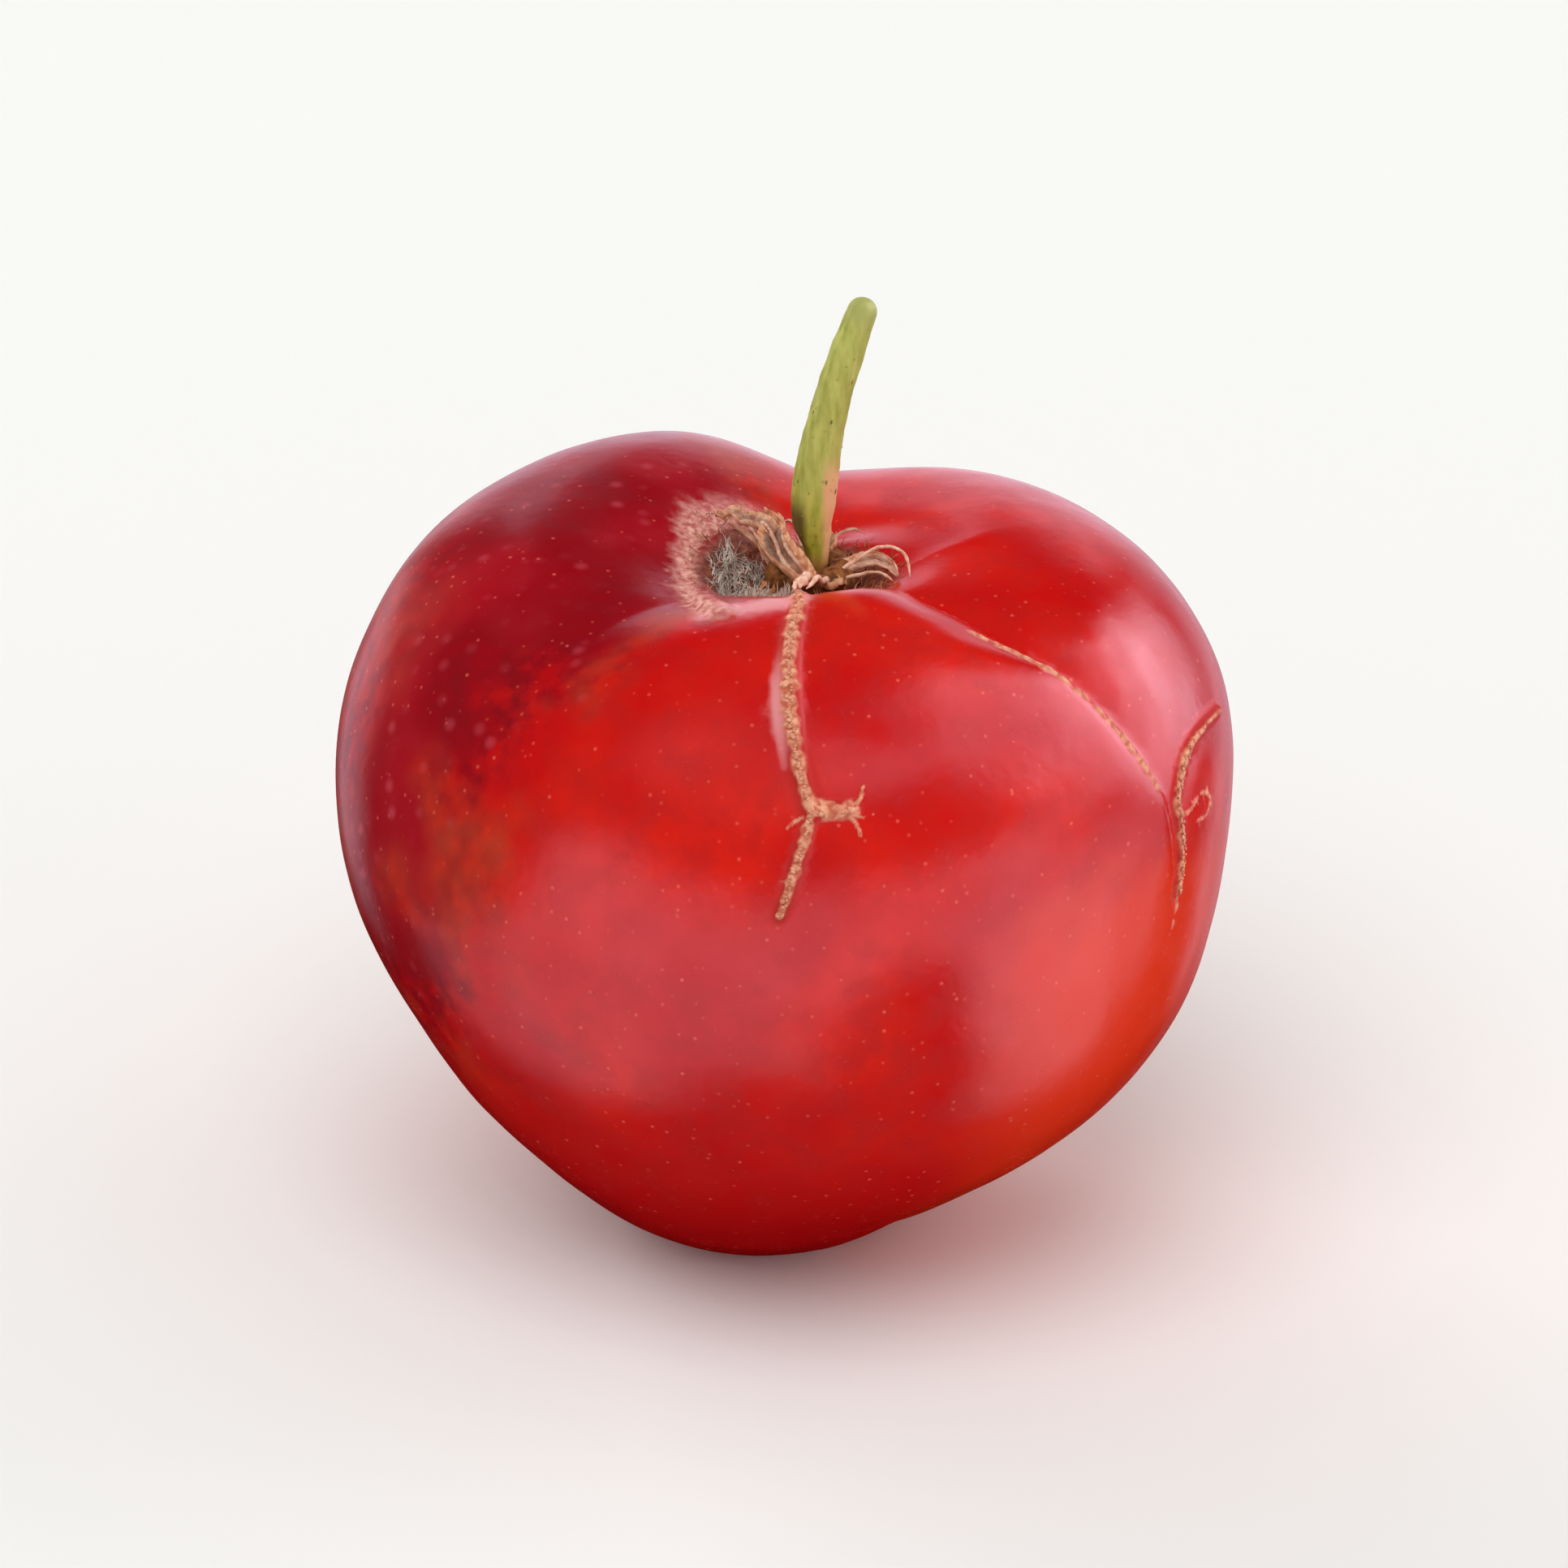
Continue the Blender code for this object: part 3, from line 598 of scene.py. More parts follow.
def waxy_skin():
    """Ripe acerola skin with its cork, as one material that reads the masks on the mesh."""
    made, tree, surface, place = new_material("waxy acerola skin")
    mask = {name: add(tree, "ShaderNodeAttribute", attribute_name=name).outputs["Fac"] for name in masks}

    # Broad drift between two reds, over about 4 mm, and a mottle of about 1 mm on top.
    drift, drifting = patches(tree, place, 4.0, 3.0, 0.4, 0.6)
    mottle, mottled = patches(tree, place, 1.0, 4.0, 0.38, 0.66, most=0.5)
    red = linear("#bf0405")
    # The last of these, a deeper red towards the bottom, is painted shade.
    for share, paint in ((drifting, "#d11606"), (mottled, "#a80206"), (mask["warm"], "#e0300c"),
                         (mask["deep"], "#b40306")):
        red = add(tree, "ShaderNodeMix", {0: share, 6: red, 7: linear(paint)}, data_type="RGBA")

    # The dark lobe: crimson with lighter streaks, and soft pale dots about 0.9 mm apart.
    dots = speckles(tree, place, 0.9, 0.32, 0.02, 0.1, 0.42)
    dark = linear("#8e0211")
    for share, paint in ((mottled, "#760110"), (drifting, "#9e0818"), (dots, "#cc4f60")):
        dark = add(tree, "ShaderNodeMix", {0: share, 6: dark, 7: linear(paint)}, data_type="RGBA")

    # The border between the reds is mottled: noise shifts the mask most where it is near a half.
    # Patches of orange brown lie along it, over the drift between the reds.
    flecks = patches(tree, place, 0.6, 4.0, least=-0.42, most=0.42)[1]
    near, far, begun = [add(tree, "ShaderNodeMapRange", {"Value": mask["crimson"], 1: none, 2: full})
                        for none, full in ((0.0, 0.3), (1.0, 0.7), (0.02, 0.3))]
    both = add(tree, "ShaderNodeMath", {0: near, 1: far}, operation="MULTIPLY")
    crimson = add(tree, "ShaderNodeMath", {0: flecks, 1: both, 2: mask["crimson"]},
                  operation="MULTIPLY_ADD", use_clamp=True)
    tinge = begun
    for factor in (far, drifting, 0.55):
        tinge = add(tree, "ShaderNodeMath", {0: tinge, 1: factor}, operation="MULTIPLY")

    # Small pale lenticels, 0.4 mm apart; dull skin beside the scars; a pale pink streak, and a painted
    # highlight on the rim's left front.
    lenticels = speckles(tree, place, 0.4, 0.2, 0.04, 0.15, 0.55)
    beside = add(tree, "ShaderNodeMath", {0: mask["flank"], 1: 0.7}, operation="MULTIPLY")
    streaks = add(tree, "ShaderNodeMapRange", {"Value": drift, 1: 0.3, 2: 0.7, 3: 0.75, 4: 1.0})
    pale = add(tree, "ShaderNodeMath", {0: mask["pale"], 1: streaks}, operation="MULTIPLY")

    # Dry tissue, crusty over 0.2 mm: tan cork with darker cracks, frayed skin, and the hollow's dark brown,
    # which up its left wall is painted shadow.
    crust = patches(tree, place, 0.2, 4.0)[1]
    cork, frayed, lining_and_shade = [
        add(tree, "ShaderNodeMix", {0: crust, 6: linear(low), 7: linear(high)}, data_type="RGBA")
        for low, high in (("#c47257", "#e6a585"), ("#ab4f4a", "#dfa598"), ("#5c2415", "#8a442f"))]
    cork = add(tree, "ShaderNodeMix", {0: mask["crack"], 6: cork, 7: linear("#bb5a40")},
               data_type="RGBA")
    colour = red
    for share, paint in ((crimson, dark), (tinge, linear("#ac3f22")), (lenticels, linear("#f0705c")),
                         (beside, linear("#a3160f")), (pale, linear("#efa4a8")),
                         (mask["russet"], frayed), (mask["lining_and_shade"], lining_and_shade), (mask["cork"], cork)):
        colour = add(tree, "ShaderNodeMix", {0: share, 6: colour, 7: paint}, data_type="RGBA")

    # Wax is glossy, and the dry tissue is dull.
    dull = mask["cork"]
    for name in ("russet", "lining_and_shade", "flank"):
        dull = add(tree, "ShaderNodeMath", {0: dull, 1: mask[name]}, operation="MAXIMUM")
    wax = add(tree, "ShaderNodeMapRange", {"Value": mottle, 1: 0.3, 2: 0.7, 3: 0.2, 4: 0.28})
    rough = add(tree, "ShaderNodeMix", {0: dull, 2: wax, 3: 0.8}, data_type="FLOAT")

    # Pores and unevenness of 0.35 mm as bump, about a hundredth of a millimetre high.
    fine = add(tree, "ShaderNodeTexNoise", {"Vector": place, "Scale": 1 / (0.35 * MM), "Detail": 2.0})
    height = add(tree, "ShaderNodeMath", {0: fine, 1: lenticels}, operation="ADD")
    bump = add(tree, "ShaderNodeBump", {"Height": height, "Strength": 0.6, "Distance": 0.011 * MM})
    feed(surface, {"Base Color": colour, "Roughness": rough, "IOR": 1.5, "Normal": bump})
    return made


fruit.data.materials.append(waxy_skin())
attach(fruit, "root")
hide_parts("fruit")
print("skin material nodes:", len(fruit.data.materials[0].node_tree.nodes))

# %% [markdown]
# ## Tubes and sheets
# The stalk, the dried sepals and the loose strands are all swept shapes: one cross-section after
# another along a line, joined by faces and closed at both ends. One function does that for every
# such piece, and it also stores numbers on the points, such as how far along or how near to an
# edge a point is, for the materials to read.

# %% Sweeping
def sweep(mesh, rings, values):
    """Add a closed swept shape to a bmesh. Values holds a number for each point, by layer name."""
    made = [[mesh.verts.new(Vector(point) * MM) for point in ring] for ring in rings]
    for name, table in values.items():
        layer = mesh.verts.layers.float.get(name)
        for ring, row in zip(made, table):
            for vertex, value in zip(ring, row):
                vertex[layer] = value
    for lower, upper in zip(made, made[1:]):
        for index in range(len(lower)):
            after = (index + 1) % len(lower)
            mesh.faces.new((lower[index], lower[after], upper[after], upper[index]))
    mesh.faces.new(list(reversed(made[0])))
    mesh.faces.new(made[-1])


def new_mesh(*names):
    """An empty bmesh with a float layer on its points for each name."""
    mesh = bmesh.new()
    for name in names:
        mesh.verts.layers.float.new(name)
    return mesh


def closed_object(mesh, name):
    """Turn a bmesh of closed shapes into an object made of triangles that point outwards."""
    bmesh.ops.triangulate(mesh, faces=mesh.faces[:])
    bmesh.ops.recalc_face_normals(mesh, faces=mesh.faces[:])
    made = to_object(mesh, name)
    print(name + ":", len(made.data.polygons), "triangles")
    return made


def even_line(places, count):
    """Points evenly spaced along a smooth curve. Columns after the third go along with them."""
    found = smooth_curve(places, 12)
    steps = np.linalg.norm(np.diff(found[:, :3], axis=0), axis=1)
    run = np.concatenate([[0], np.cumsum(steps)])
    even = np.linspace(0, run[-1], count)
    return np.stack([np.interp(even, run, column) for column in found.T], axis=-1)


def tube(mesh, places, radii, sides, relief, **layers):
    """A closed tube round a line of points. Relief gives the height to add to the radius, from
    the share of the way, the turn, the plain point and the radius. Each layer's number comes
    from the share and the turn."""
    turns = np.linspace(0, math.tau, sides, endpoint=False)
    side = np.array([1.0, 0.0, 0.0])
    rings, values = [], {name: [] for name in layers}
    for index, (place, radius) in enumerate(zip(places, radii)):
        share = index / (len(places) - 1)
        along = places[min(index + 1, len(places) - 1)] - places[max(index - 1, 0)]
        along = along / np.linalg.norm(along)
        side = side - along * (side @ along)
        side = side / np.linalg.norm(side)
        third = np.cross(along, side)
        ring = []
        for turn in turns:
            out = side * math.cos(turn) + third * math.sin(turn)
            ring.append(place + out * (radius + relief(share, turn, place + out * radius, radius)))
        rings.append(ring)
        for name, value in layers.items():
            values[name].append([value(share, turn) for turn in turns])
    sweep(mesh, rings, values)


# %% [markdown]
# ## The stalk
# The stalk is green wood, still fresh: it swells where it leaves the hollow, bends to the right
# and ends in the rounded scar where it parted from its branch. Its skin has low ribs lengthwise
# and small brown pores. The same points as the solid's give the line and the thickness.

# %% Stalk piece
# Points up the stalk's middle: right of the core, behind it, height, and thickness there.
STALK = [(0.88, 0.0, 19.15, 0.62), (0.9, 0.02, 19.85, 0.62), (0.92, 0.04, 20.3, 0.66),
         (0.86, 0.07, 20.75, 0.88), (0.79, 0.1, 21.2, 1.1), (0.84, 0.15, 22.0, 1.24),
         (0.98, 0.2, 23.1, 1.16), (1.3, 0.22, 24.7, 1.0), (1.74, 0.24, 26.25, 0.94),
         (2.2, 0.25, 27.65, 0.8)]
STALK_SIDES = 40
STALK_RINGS = 130
RIBS = 6
RIB_HEIGHT = 0.022
RIB_TWIST = 1.4                          # radians, from foot to tip
# The rounded tip: how far up each ring sits, as shares of the radius, and how tall the dome is.
DOME = [0.35, 0.6, 0.78, 0.9, 0.97]
DOME_HEIGHT = 0.8


def bark(share, turn, point, radius):
    """Height of the stalk's ribs and small bumps, less of both where it is thin."""
    rib = RIB_HEIGHT * (1 - ease(0.93, 1.0, share)) * math.cos(RIBS * turn + RIB_TWIST * share)
    bump = 0.02 * noise.noise(Vector(point * 2.2)) + 0.008 * noise.noise(Vector(point * 7.0))
    return (rib + bump) * min(1, radius / 0.3)


line = even_line(STALK, STALK_RINGS)
line[:, :2] += CORE[:2]
places, radii = line[:, :3], line[:, 3] / 2
heading = unit(places[-1:] - places[-2:-1])
rises = np.array(DOME)
places = np.vstack([places, places[-1] + heading * (radii[-1] * rises * DOME_HEIGHT)[:, None]])
radii = np.concatenate([radii, radii[-1] * np.sqrt(1 - rises**2)])
stem = new_mesh("along")
tube(stem, places, radii, STALK_SIDES, bark, along=lambda share, turn: share)
stalk = closed_object(stem, "stalk_fresh")

# %% Fresh stalk material
def fresh_stalk():
    """Green bark of a young stem: satin, streaked lengthwise, tan where it has begun to dry."""
    made, tree, surface, place = new_material("fresh green stem")
    along = add(tree, "ShaderNodeAttribute", attribute_name="along").outputs["Fac"]
    # Streaks about 0.2 mm wide and five times as long.
    lengthwise = add(tree, "ShaderNodeMapping", {"Vector": place, "Scale": (1 / MM, 1 / MM, 0.22 / MM)})
    streak = add(tree, "ShaderNodeTexNoise", {"Vector": lengthwise, "Scale": 5.0, "Detail": 3.0})
    streaky = add(tree, "ShaderNodeMapRange", {"Value": streak, 1: 0.36, 2: 0.64})
    colour, low = [add(tree, "ShaderNodeMix", {0: streaky, 6: linear(dark), 7: linear(light)},
                       data_type="RGBA") for dark, light in (("#9a9d3e", "#b6b75c"), ("#93982a", "#b8ae48"))]

    # Where each tint begins and where it is full: up the stalk, and to the right in mm. The right
    # side of the foot has dried to tan, the left has painted shadow, and the joint in the hollow is brown.
    foot, short, joint, lowest, tip = [
        add(tree, "ShaderNodeMapRange", {"Value": along, 1: none, 2: full}, interpolation_type="SMOOTHSTEP")
        for none, full in ((0.45, 0.16), (0.5, 0.36), (0.15, 0.07), (0.34, 0.24), (0.88, 0.99))]
    across = add(tree, "ShaderNodeSeparateXYZ", {0: place})
    right, left = [
        add(tree, "ShaderNodeMapRange", {"Value": across, 1: none * MM, 2: full * MM},
            interpolation_type="SMOOTHSTEP") for none, full in ((1.0, 1.2), (0.72, 0.46))]
    dried, shaded_left = [add(tree, "ShaderNodeMath", {0: side, 1: height}, operation="MULTIPLY")
                     for side, height in ((right, short), (left, lowest))]

    # Fine brown flecks in two fifths of the cells, 0.3 mm apart, where the bark's pores begin.
    cells = add(tree, "ShaderNodeTexVoronoi", {"Vector": place, "Scale": 1 / (0.3 * MM)})
    fleck = add(tree, "ShaderNodeMapRange", {"Value": cells, 1: 0.26, 2: 0.1, 3: 0.0, 4: 0.35},
                interpolation_type="SMOOTHSTEP")
    luck = add(tree, "ShaderNodeSeparateColor", {"Color": cells.outputs["Color"]})
    some = add(tree, "ShaderNodeMath", {0: luck, 1: 0.6}, operation="GREATER_THAN")
    fleck = add(tree, "ShaderNodeMath", {0: fleck, 1: some}, operation="MULTIPLY")
    for share, paint in ((foot, low), (dried, linear("#dba878")), (joint, linear("#a8763f")),
                         (shaded_left, linear("#5a4a18")), (tip, linear("#a2a35a")),
                         (fleck, linear("#6b5a28"))):
        colour = add(tree, "ShaderNodeMix", {0: share, 6: colour, 7: paint}, data_type="RGBA")
    rough = add(tree, "ShaderNodeMapRange", {"Value": streak, 1: 0.3, 2: 0.7, 3: 0.42, 4: 0.62})
    bump = add(tree, "ShaderNodeBump", {"Height": streak, "Strength": 0.7, "Distance": 0.02 * MM})
    feed(surface, {"Base Color": colour, "Roughness": rough, "Normal": bump})
    return made


stalk.data.materials.append(fresh_stalk())
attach(stalk, "root")
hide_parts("stalk")
print("stalk material nodes:", len(stalk.data.materials[0].node_tree.nodes))

# %% [markdown]
# ## The dried calyx
# The flower's five sepals stay in the hollow and dry there. Each one is a thin, narrow sheet whose
# edges have curled up, like a small boat, and it carries two long oil glands that shrivel to dark
# ridges. A low ring joins them round the stalk's foot. The solids hold their places and sizes;
# here each one becomes a thin curled sheet with a wrinkled face.

# %% Sepals
RING_SECTION = [(0.52, 19.28), (0.52, 19.75), (0.6, 19.9), (0.85, 19.97), (1.08, 19.9), (1.22, 19.76),
                (1.3, 19.55), (1.2, 19.28)]
RING_SIDES = 96
# Each sepal: places along it as (polar, azimuth, lift off the wall), its width, how far it
# twists on the way, in degrees, how deep its boat is, and how pale it has dried. The last one is
# a narrow strip over the first.
SEPALS = [
    ([(9.5, -5, 0.7), (6.2, -45, 1.15), (6.8, -108, 1.2), (11, -142, 1.05), (17.5, -152, 0.85)],
     0.9, 25, 1.0, 0.25),
    ([(5, -62, 0.55), (9, -62, 0.5), (13, -62, 0.45)], 0.6, -20, 0.8, 0.0),
    ([(5, 26, 0.55), (9, 26, 0.5), (13.5, 26, 0.5)], 0.65, 15, 0.7, 0.2),
    ([(5, 75, 0.7), (8, 86, 0.75), (12, 91, 0.6), (14.5, 84, 0.35), (16, 74, 0.1)], 0.42, -50, 1.0, 0.7),
    ([(5, 160, 0.5), (9, 160, 0.5), (13, 158, 0.5)], 0.65, 20, 0.9, 0.3),
    ([(8, -132, 1.0), (13, -138, 1.0), (18, -138, 0.7), (23, -136, 0.25)], 0.5, 15, 1.0, 0.5),
]
SEPAL_RISE = 0.62                        # height of the curled edges above the underside
SHEET = 0.15                             # thickness of the dried tissue
SEPAL_STEPS = 40
GLAND_RISE = 0.14
GLAND_PLACE = 0.42                       # share of the way from a sepal's middle to its edge


def over_hollow(places, count):
    """An even line over the hollow through places of (polar, azimuth, lift off the wall)."""
    line = even_line([direction(p, a).tolist() + [lift] for p, a, lift in places], count)
    points = skin(unit(line[:, :3]))
    points[:, 2] += line[:, 3]
    return points


def sepal_outline(width, rise, boat, gland):
    """The cross-section of one sepal: its curled top, then its underside, as (across, up, edge)."""
    top = []
    for u in np.linspace(1, -1, 25):
        dish = (1 - boat) + boat * (0.25 + 0.75 * abs(u) ** 2.2)
        ridge = gland * math.exp(-(((abs(u) - GLAND_PLACE) / 0.2) ** 2))
        top.append((0.5 * width * u, rise * dish + ridge, abs(u)))
    under = [(0.96 * across, max(up - SHEET * (1 + 0.8 * (1 - edge)), 0.0), edge * 0.9)
             for across, up, edge in reversed(top[1:-1])]
    return top + under


def add_sepal(mesh, places, width, twist, boat, paleness):
    """One dried sepal, from the ring over the hollow to its tip."""
    wall = over_hollow(places, SEPAL_STEPS)
    rings, edges, glands = [], [], []
    for index in range(SEPAL_STEPS):
        share = index / (SEPAL_STEPS - 1)
        spread = math.sin(math.pi * (0.2 + 0.75 * share)) ** 0.8
        along = wall[min(index + 1, SEPAL_STEPS - 1)] - wall[max(index - 1, 0)]
        along /= np.linalg.norm(along)
        across = np.cross(along, (0, 0, 1.0))
        across /= np.linalg.norm(across)
        up = np.cross(across, along)
        turn = math.radians(twist) * share
        across, up = (across * math.cos(turn) + up * math.sin(turn),
                      up * math.cos(turn) - across * math.sin(turn))
        gland = GLAND_RISE * ease(0.12, 0.35, share) * (1 - ease(0.6, 0.85, share))
        rise = SEPAL_RISE * (0.5 + 0.5 * math.sin(math.pi * min(1, share + 0.2))) * min(1, width / 0.9)
        ring, edge_row, gland_row = [], [], []
        for side, height, edge in sepal_outline(width * spread, rise, boat, gland):
            point = wall[index] + across * side + up * height
            wrinkle = 0.05 * noise.noise(Vector(point * 3.1)) + 0.03 * noise.noise(Vector(point * 8.3))
            frill = 0.08 * edge**4 * noise.noise(Vector((share * 9, places[0][1], side)))
            sway = 0.04 * noise.noise(Vector(point * 4.7 + 9))
            ring.append(point + up * (wrinkle + frill) + across * sway)
            edge_row.append(edge)
            gland_row.append(gland / GLAND_RISE * math.exp(-(((edge - GLAND_PLACE) / 0.22) ** 2)))
        rings.append(ring)
        edges.append(edge_row)
        glands.append(gland_row)
    pales = [[paleness] * len(ring) for ring in rings]
    sweep(mesh, rings, {"edge": edges, "gland": glands, "pale": pales})


print("curled sheets:", len(SEPALS), "with points round each:", len(sepal_outline(0.9, 0.6, 1.0, 0.0)))

# %% Ring and strands
# Loose dried strands over the hollow: places as (polar, azimuth, lift off the wall), the
# thickness at the root and at the tip, and how pale it has dried.
STRANDS = [
    ([(7, -75, 0.8), (9, -112, 0.9), (12, -124, 0.85), (15.5, -128, 0.8), (18.5, -128, 0.7)],
     0.22, 0.12, 0.3),
    ([(9, -8, 0.85), (6, -58, 1.35), (7.5, -115, 1.4), (12, -137, 1.2), (18.5, -143, 0.9)], 0.17, 0.08, 0.75),
    ([(8.5, 5, 0.9), (5.2, -38, 1.5), (6, -118, 1.6), (10, -150, 1.35), (16, -158, 1.1)], 0.15, 0.07, 0.6),
    ([(10, -118, 0.6), (14, -132, 0.9), (18, -136, 0.7), (22.5, -134, 0.1)], 0.13, 0.07, 0.8),
    ([(6, 66, 0.85), (9, 80, 1.05), (13, 88, 1.05), (16.5, 80, 0.65), (18.2, 68, 0.1)], 0.12, 0.07, 1.0),
    ([(6, 92, 0.6), (9, 104, 0.75), (13, 108, 0.55), (15.5, 104, 0.1)], 0.1, 0.06, 1.0),
    ([(6.5, 50, 0.65), (9, 58, 0.75), (13, 64, 0.6), (16.5, 60, 0.15)], 0.13, 0.07, 0.5),
    ([(5, 12, 0.75), (8, 3, 0.95), (12.5, -2, 0.9), (17, -3.5, 0.55), (21, -4.6, 0.15)], 0.3, 0.26, 1.0),
    ([(5, -20, 0.75), (8, -14, 0.85), (12, -10, 0.8), (17, -8, 0.4), (20.5, -7, 0.08)], 0.22, 0.16, 0.9),
    ([(5, 40, 0.7), (8, 22, 0.9), (12, 9, 0.85), (17, 2, 0.5), (20, -2, 0.12)], 0.2, 0.12, 0.9),
    ([(6, 150, 0.6), (11, 156, 0.7), (15, 150, 0.6), (18, 147, 0.2)], 0.12, 0.06, 0.5),
    ([(7, -165, 0.8), (11, -168, 1.0), (15, -164, 0.9), (19, -160, 0.3)], 0.12, 0.06, 0.9),
]
STRAND_STEPS = 34
STRAND_SIDES = 10


def add_ring(mesh):
    """The wrinkled ring that joins the sepals, with a hole for the stalk's foot."""
    axis = np.array((CORE[0] + CROWN_SHIFT, CORE[1], 0))
    made = []
    for turn in np.linspace(0, math.tau, RING_SIDES, endpoint=False):
        out = np.array((math.cos(turn), math.sin(turn), 0))
        ring = []
        for reach, height in RING_SECTION:
            point = axis + out * reach + np.array((0, 0, height))
            point[2] += 0.05 * math.cos(10 * turn) * (reach - 0.5) + 0.06 * noise.noise(Vector(point * 4.0))
            ring.append(mesh.verts.new(Vector(point) * MM))
        made.append(ring)
    count = len(RING_SECTION)
    for here, after in zip(made, made[1:] + made[:1]):
        for index in range(count):
            below = (index + 1) % count
            mesh.faces.new((here[index], here[below], after[below], after[index]))


def add_strand(mesh, places, thick, thin, paleness):
    """One dried strand that arches over the hollow."""
    shares = np.linspace(0, 1, STRAND_STEPS)
    radii = 0.5 * (thick + (thin - thick) * shares) * (1 - 0.7 * ease(0.9, 1.0, shares))
    tube(mesh, over_hollow(places, STRAND_STEPS), radii, STRAND_SIDES,
         lambda share, turn, point, radius: 0.5 * radius * noise.noise(Vector(point * 6.0)),
         edge=lambda share, turn: 0.75 + 0.25 * math.sin(turn), gland=lambda share, turn: 0.0,
         pale=lambda share, turn: paleness)


dried = new_mesh("edge", "gland", "pale")
add_ring(dried)
for sepal in SEPALS:
    add_sepal(dried, *sepal)
for strand in STRANDS:
    add_strand(dried, *strand)
calyx = closed_object(dried, "calyx_dried")

# %% Dried calyx material
def dried_calyx():
    """Dead plant tissue: matt, tan along its edges, dark brown in its folds and on its glands."""
    made, tree, surface, place = new_material("dried sepal tissue")
    edge, gland, pale = [add(tree, "ShaderNodeAttribute", attribute_name=name).outputs["Fac"]
                         for name in ("edge", "gland", "pale")]
    # Fibres of about 0.2 mm, from the darker to the lighter colour of each part.
    fibre, fibrous = patches(tree, place, 0.22, 4.0)
    colour, outer, light = [
        add(tree, "ShaderNodeMix", {0: fibrous, 6: linear(low), 7: linear(high)}, data_type="RGBA")
        for low, high in (("#55290f", "#92592c"), ("#bb6a3c", "#e6ad7e"), ("#cd8c72", "#f2cdb9"))]
    rim = add(tree, "ShaderNodeMapRange", {"Value": edge, 1: 0.45, 2: 0.85}, interpolation_type="SMOOTHSTEP")
    for share, paint in ((rim, outer), (gland, linear("#3b2012")), (pale, light)):
        colour = add(tree, "ShaderNodeMix", {0: share, 6: colour, 7: paint}, data_type="RGBA")
    bump = add(tree, "ShaderNodeBump", {"Height": fibre, "Strength": 0.8, "Distance": 0.03 * MM})
    feed(surface, {"Base Color": colour, "Roughness": 0.8, "Specular IOR Level": 0.3, "Normal": bump})
    return made


calyx.data.materials.append(dried_calyx())
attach(calyx, "root")
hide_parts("calyx")
print("calyx material nodes:", len(calyx.data.materials[0].node_tree.nodes))

# %% [markdown]
# ## Grown by rule: Geometry Nodes
# Cork flakes along the scars, the frayed fringe of the hollow, the grey fuzz in its pocket and the
# pores of the stalk are hundreds of small shapes that follow a path or a surface. A Geometry
# Nodes tree places them from a few named sizes and a seed. Each tree below takes a plain carrier
# mesh, puts copies of a small shape on it, makes them real and gives them their material. The
# result is kept as a plain mesh, because an exported model can't hold the live tree.

# %% Trees and carriers
LENGTHS = ("Spacing", "Length", "Width", "Thickness", "Scatter", "Bend")     # inputs in millimetres


def in_metres(sizes):
    """The same sizes, with the lengths turned from millimetres to metres."""
    return {name: value * MM if name in LENGTHS else value for name, value in sizes.items()}


def new_tree(name, **sizes):
    """A Geometry Nodes tree with a geometry input and named number inputs, and their sockets."""
    tree = bpy.data.node_groups.new(name, "GeometryNodeTree")
    for end in ("INPUT", "OUTPUT"):
        tree.interface.new_socket("Geometry", in_out=end, socket_type="NodeSocketGeometry")
    for label, value in in_metres(sizes).items():
        kind = "NodeSocketInt" if isinstance(value, int) else "NodeSocketFloat"
        tree.interface.new_socket(label, in_out="INPUT", socket_type=kind).default_value = value
    return tree, add(tree, "NodeGroupInput").outputs


def close_tree(tree, geometry, material):
    """End a tree: its shapes are shaded smooth, get their material and are handed out."""
    smooth = add(tree, "GeometryNodeSetShadeSmooth", {0: geometry})
    finish = add(tree, "GeometryNodeSetMaterial", {0: smooth, "Material": material})
    add(tree, "NodeGroupOutput", {"Geometry": finish})
    return tree


def pebble(tree, length, width, height):
    """A small ball with few faces, stretched to three sizes."""
    ball = add(tree, "GeometryNodeMeshIcoSphere", {"Radius": 0.5, "Subdivisions": 1})
    size = add(tree, "ShaderNodeCombineXYZ", {0: length, 1: width, 2: height})
    return add(tree, "GeometryNodeTransform", {"Geometry": ball, "Scale": size})


def scatter(tree, points, shape, turned, least, most, seed):
    """Copies of a shape on points, each between two sizes at random, made real."""
    grown = add(tree, "FunctionNodeRandomValue", {2: least, 3: most, "Seed": seed})
    copies = add(tree, "GeometryNodeInstanceOnPoints",
                 {"Points": points, "Instance": shape, "Rotation": turned, "Scale": grown})
    return add(tree, "GeometryNodeRealizeInstances", {0: copies})


def wander(tree, place, scale, detail, reach):
    """A smooth random vector at each place, up to about half a reach long."""
    cloud = add(tree, "ShaderNodeTexNoise", {"Vector": place, "Scale": scale, "Detail": detail})
    centred = add(tree, "ShaderNodeVectorMath", {0: cloud.outputs["Color"], 1: (0.5, 0.5, 0.5)},
                  operation="SUBTRACT")
    return add(tree, "ShaderNodeVectorMath", {0: centred, "Scale": reach}, operation="SCALE")


def grow(name, slot, ground, tree, **sizes):
    """Run a tree on a carrier mesh and keep the result as a piece with a plain mesh."""
    made = new_object(name, ground)
    modifier = made.modifiers.new("grow", "NODES")
    modifier.node_group = tree
    sizes = in_metres(sizes)
    for item in tree.interface.items_tree:
        if item.in_out == "INPUT" and item.name in sizes:
            modifier[item.identifier] = sizes[item.name]
    bpy.context.view_layer.update()
    result = bpy.data.meshes.new_from_object(made.evaluated_get(bpy.context.evaluated_depsgraph_get()))
    made.modifiers.remove(modifier)
    made.data = result
    made.data.name = name
    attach(made, "root")
    print(name + ":", len(result.polygons), "faces")


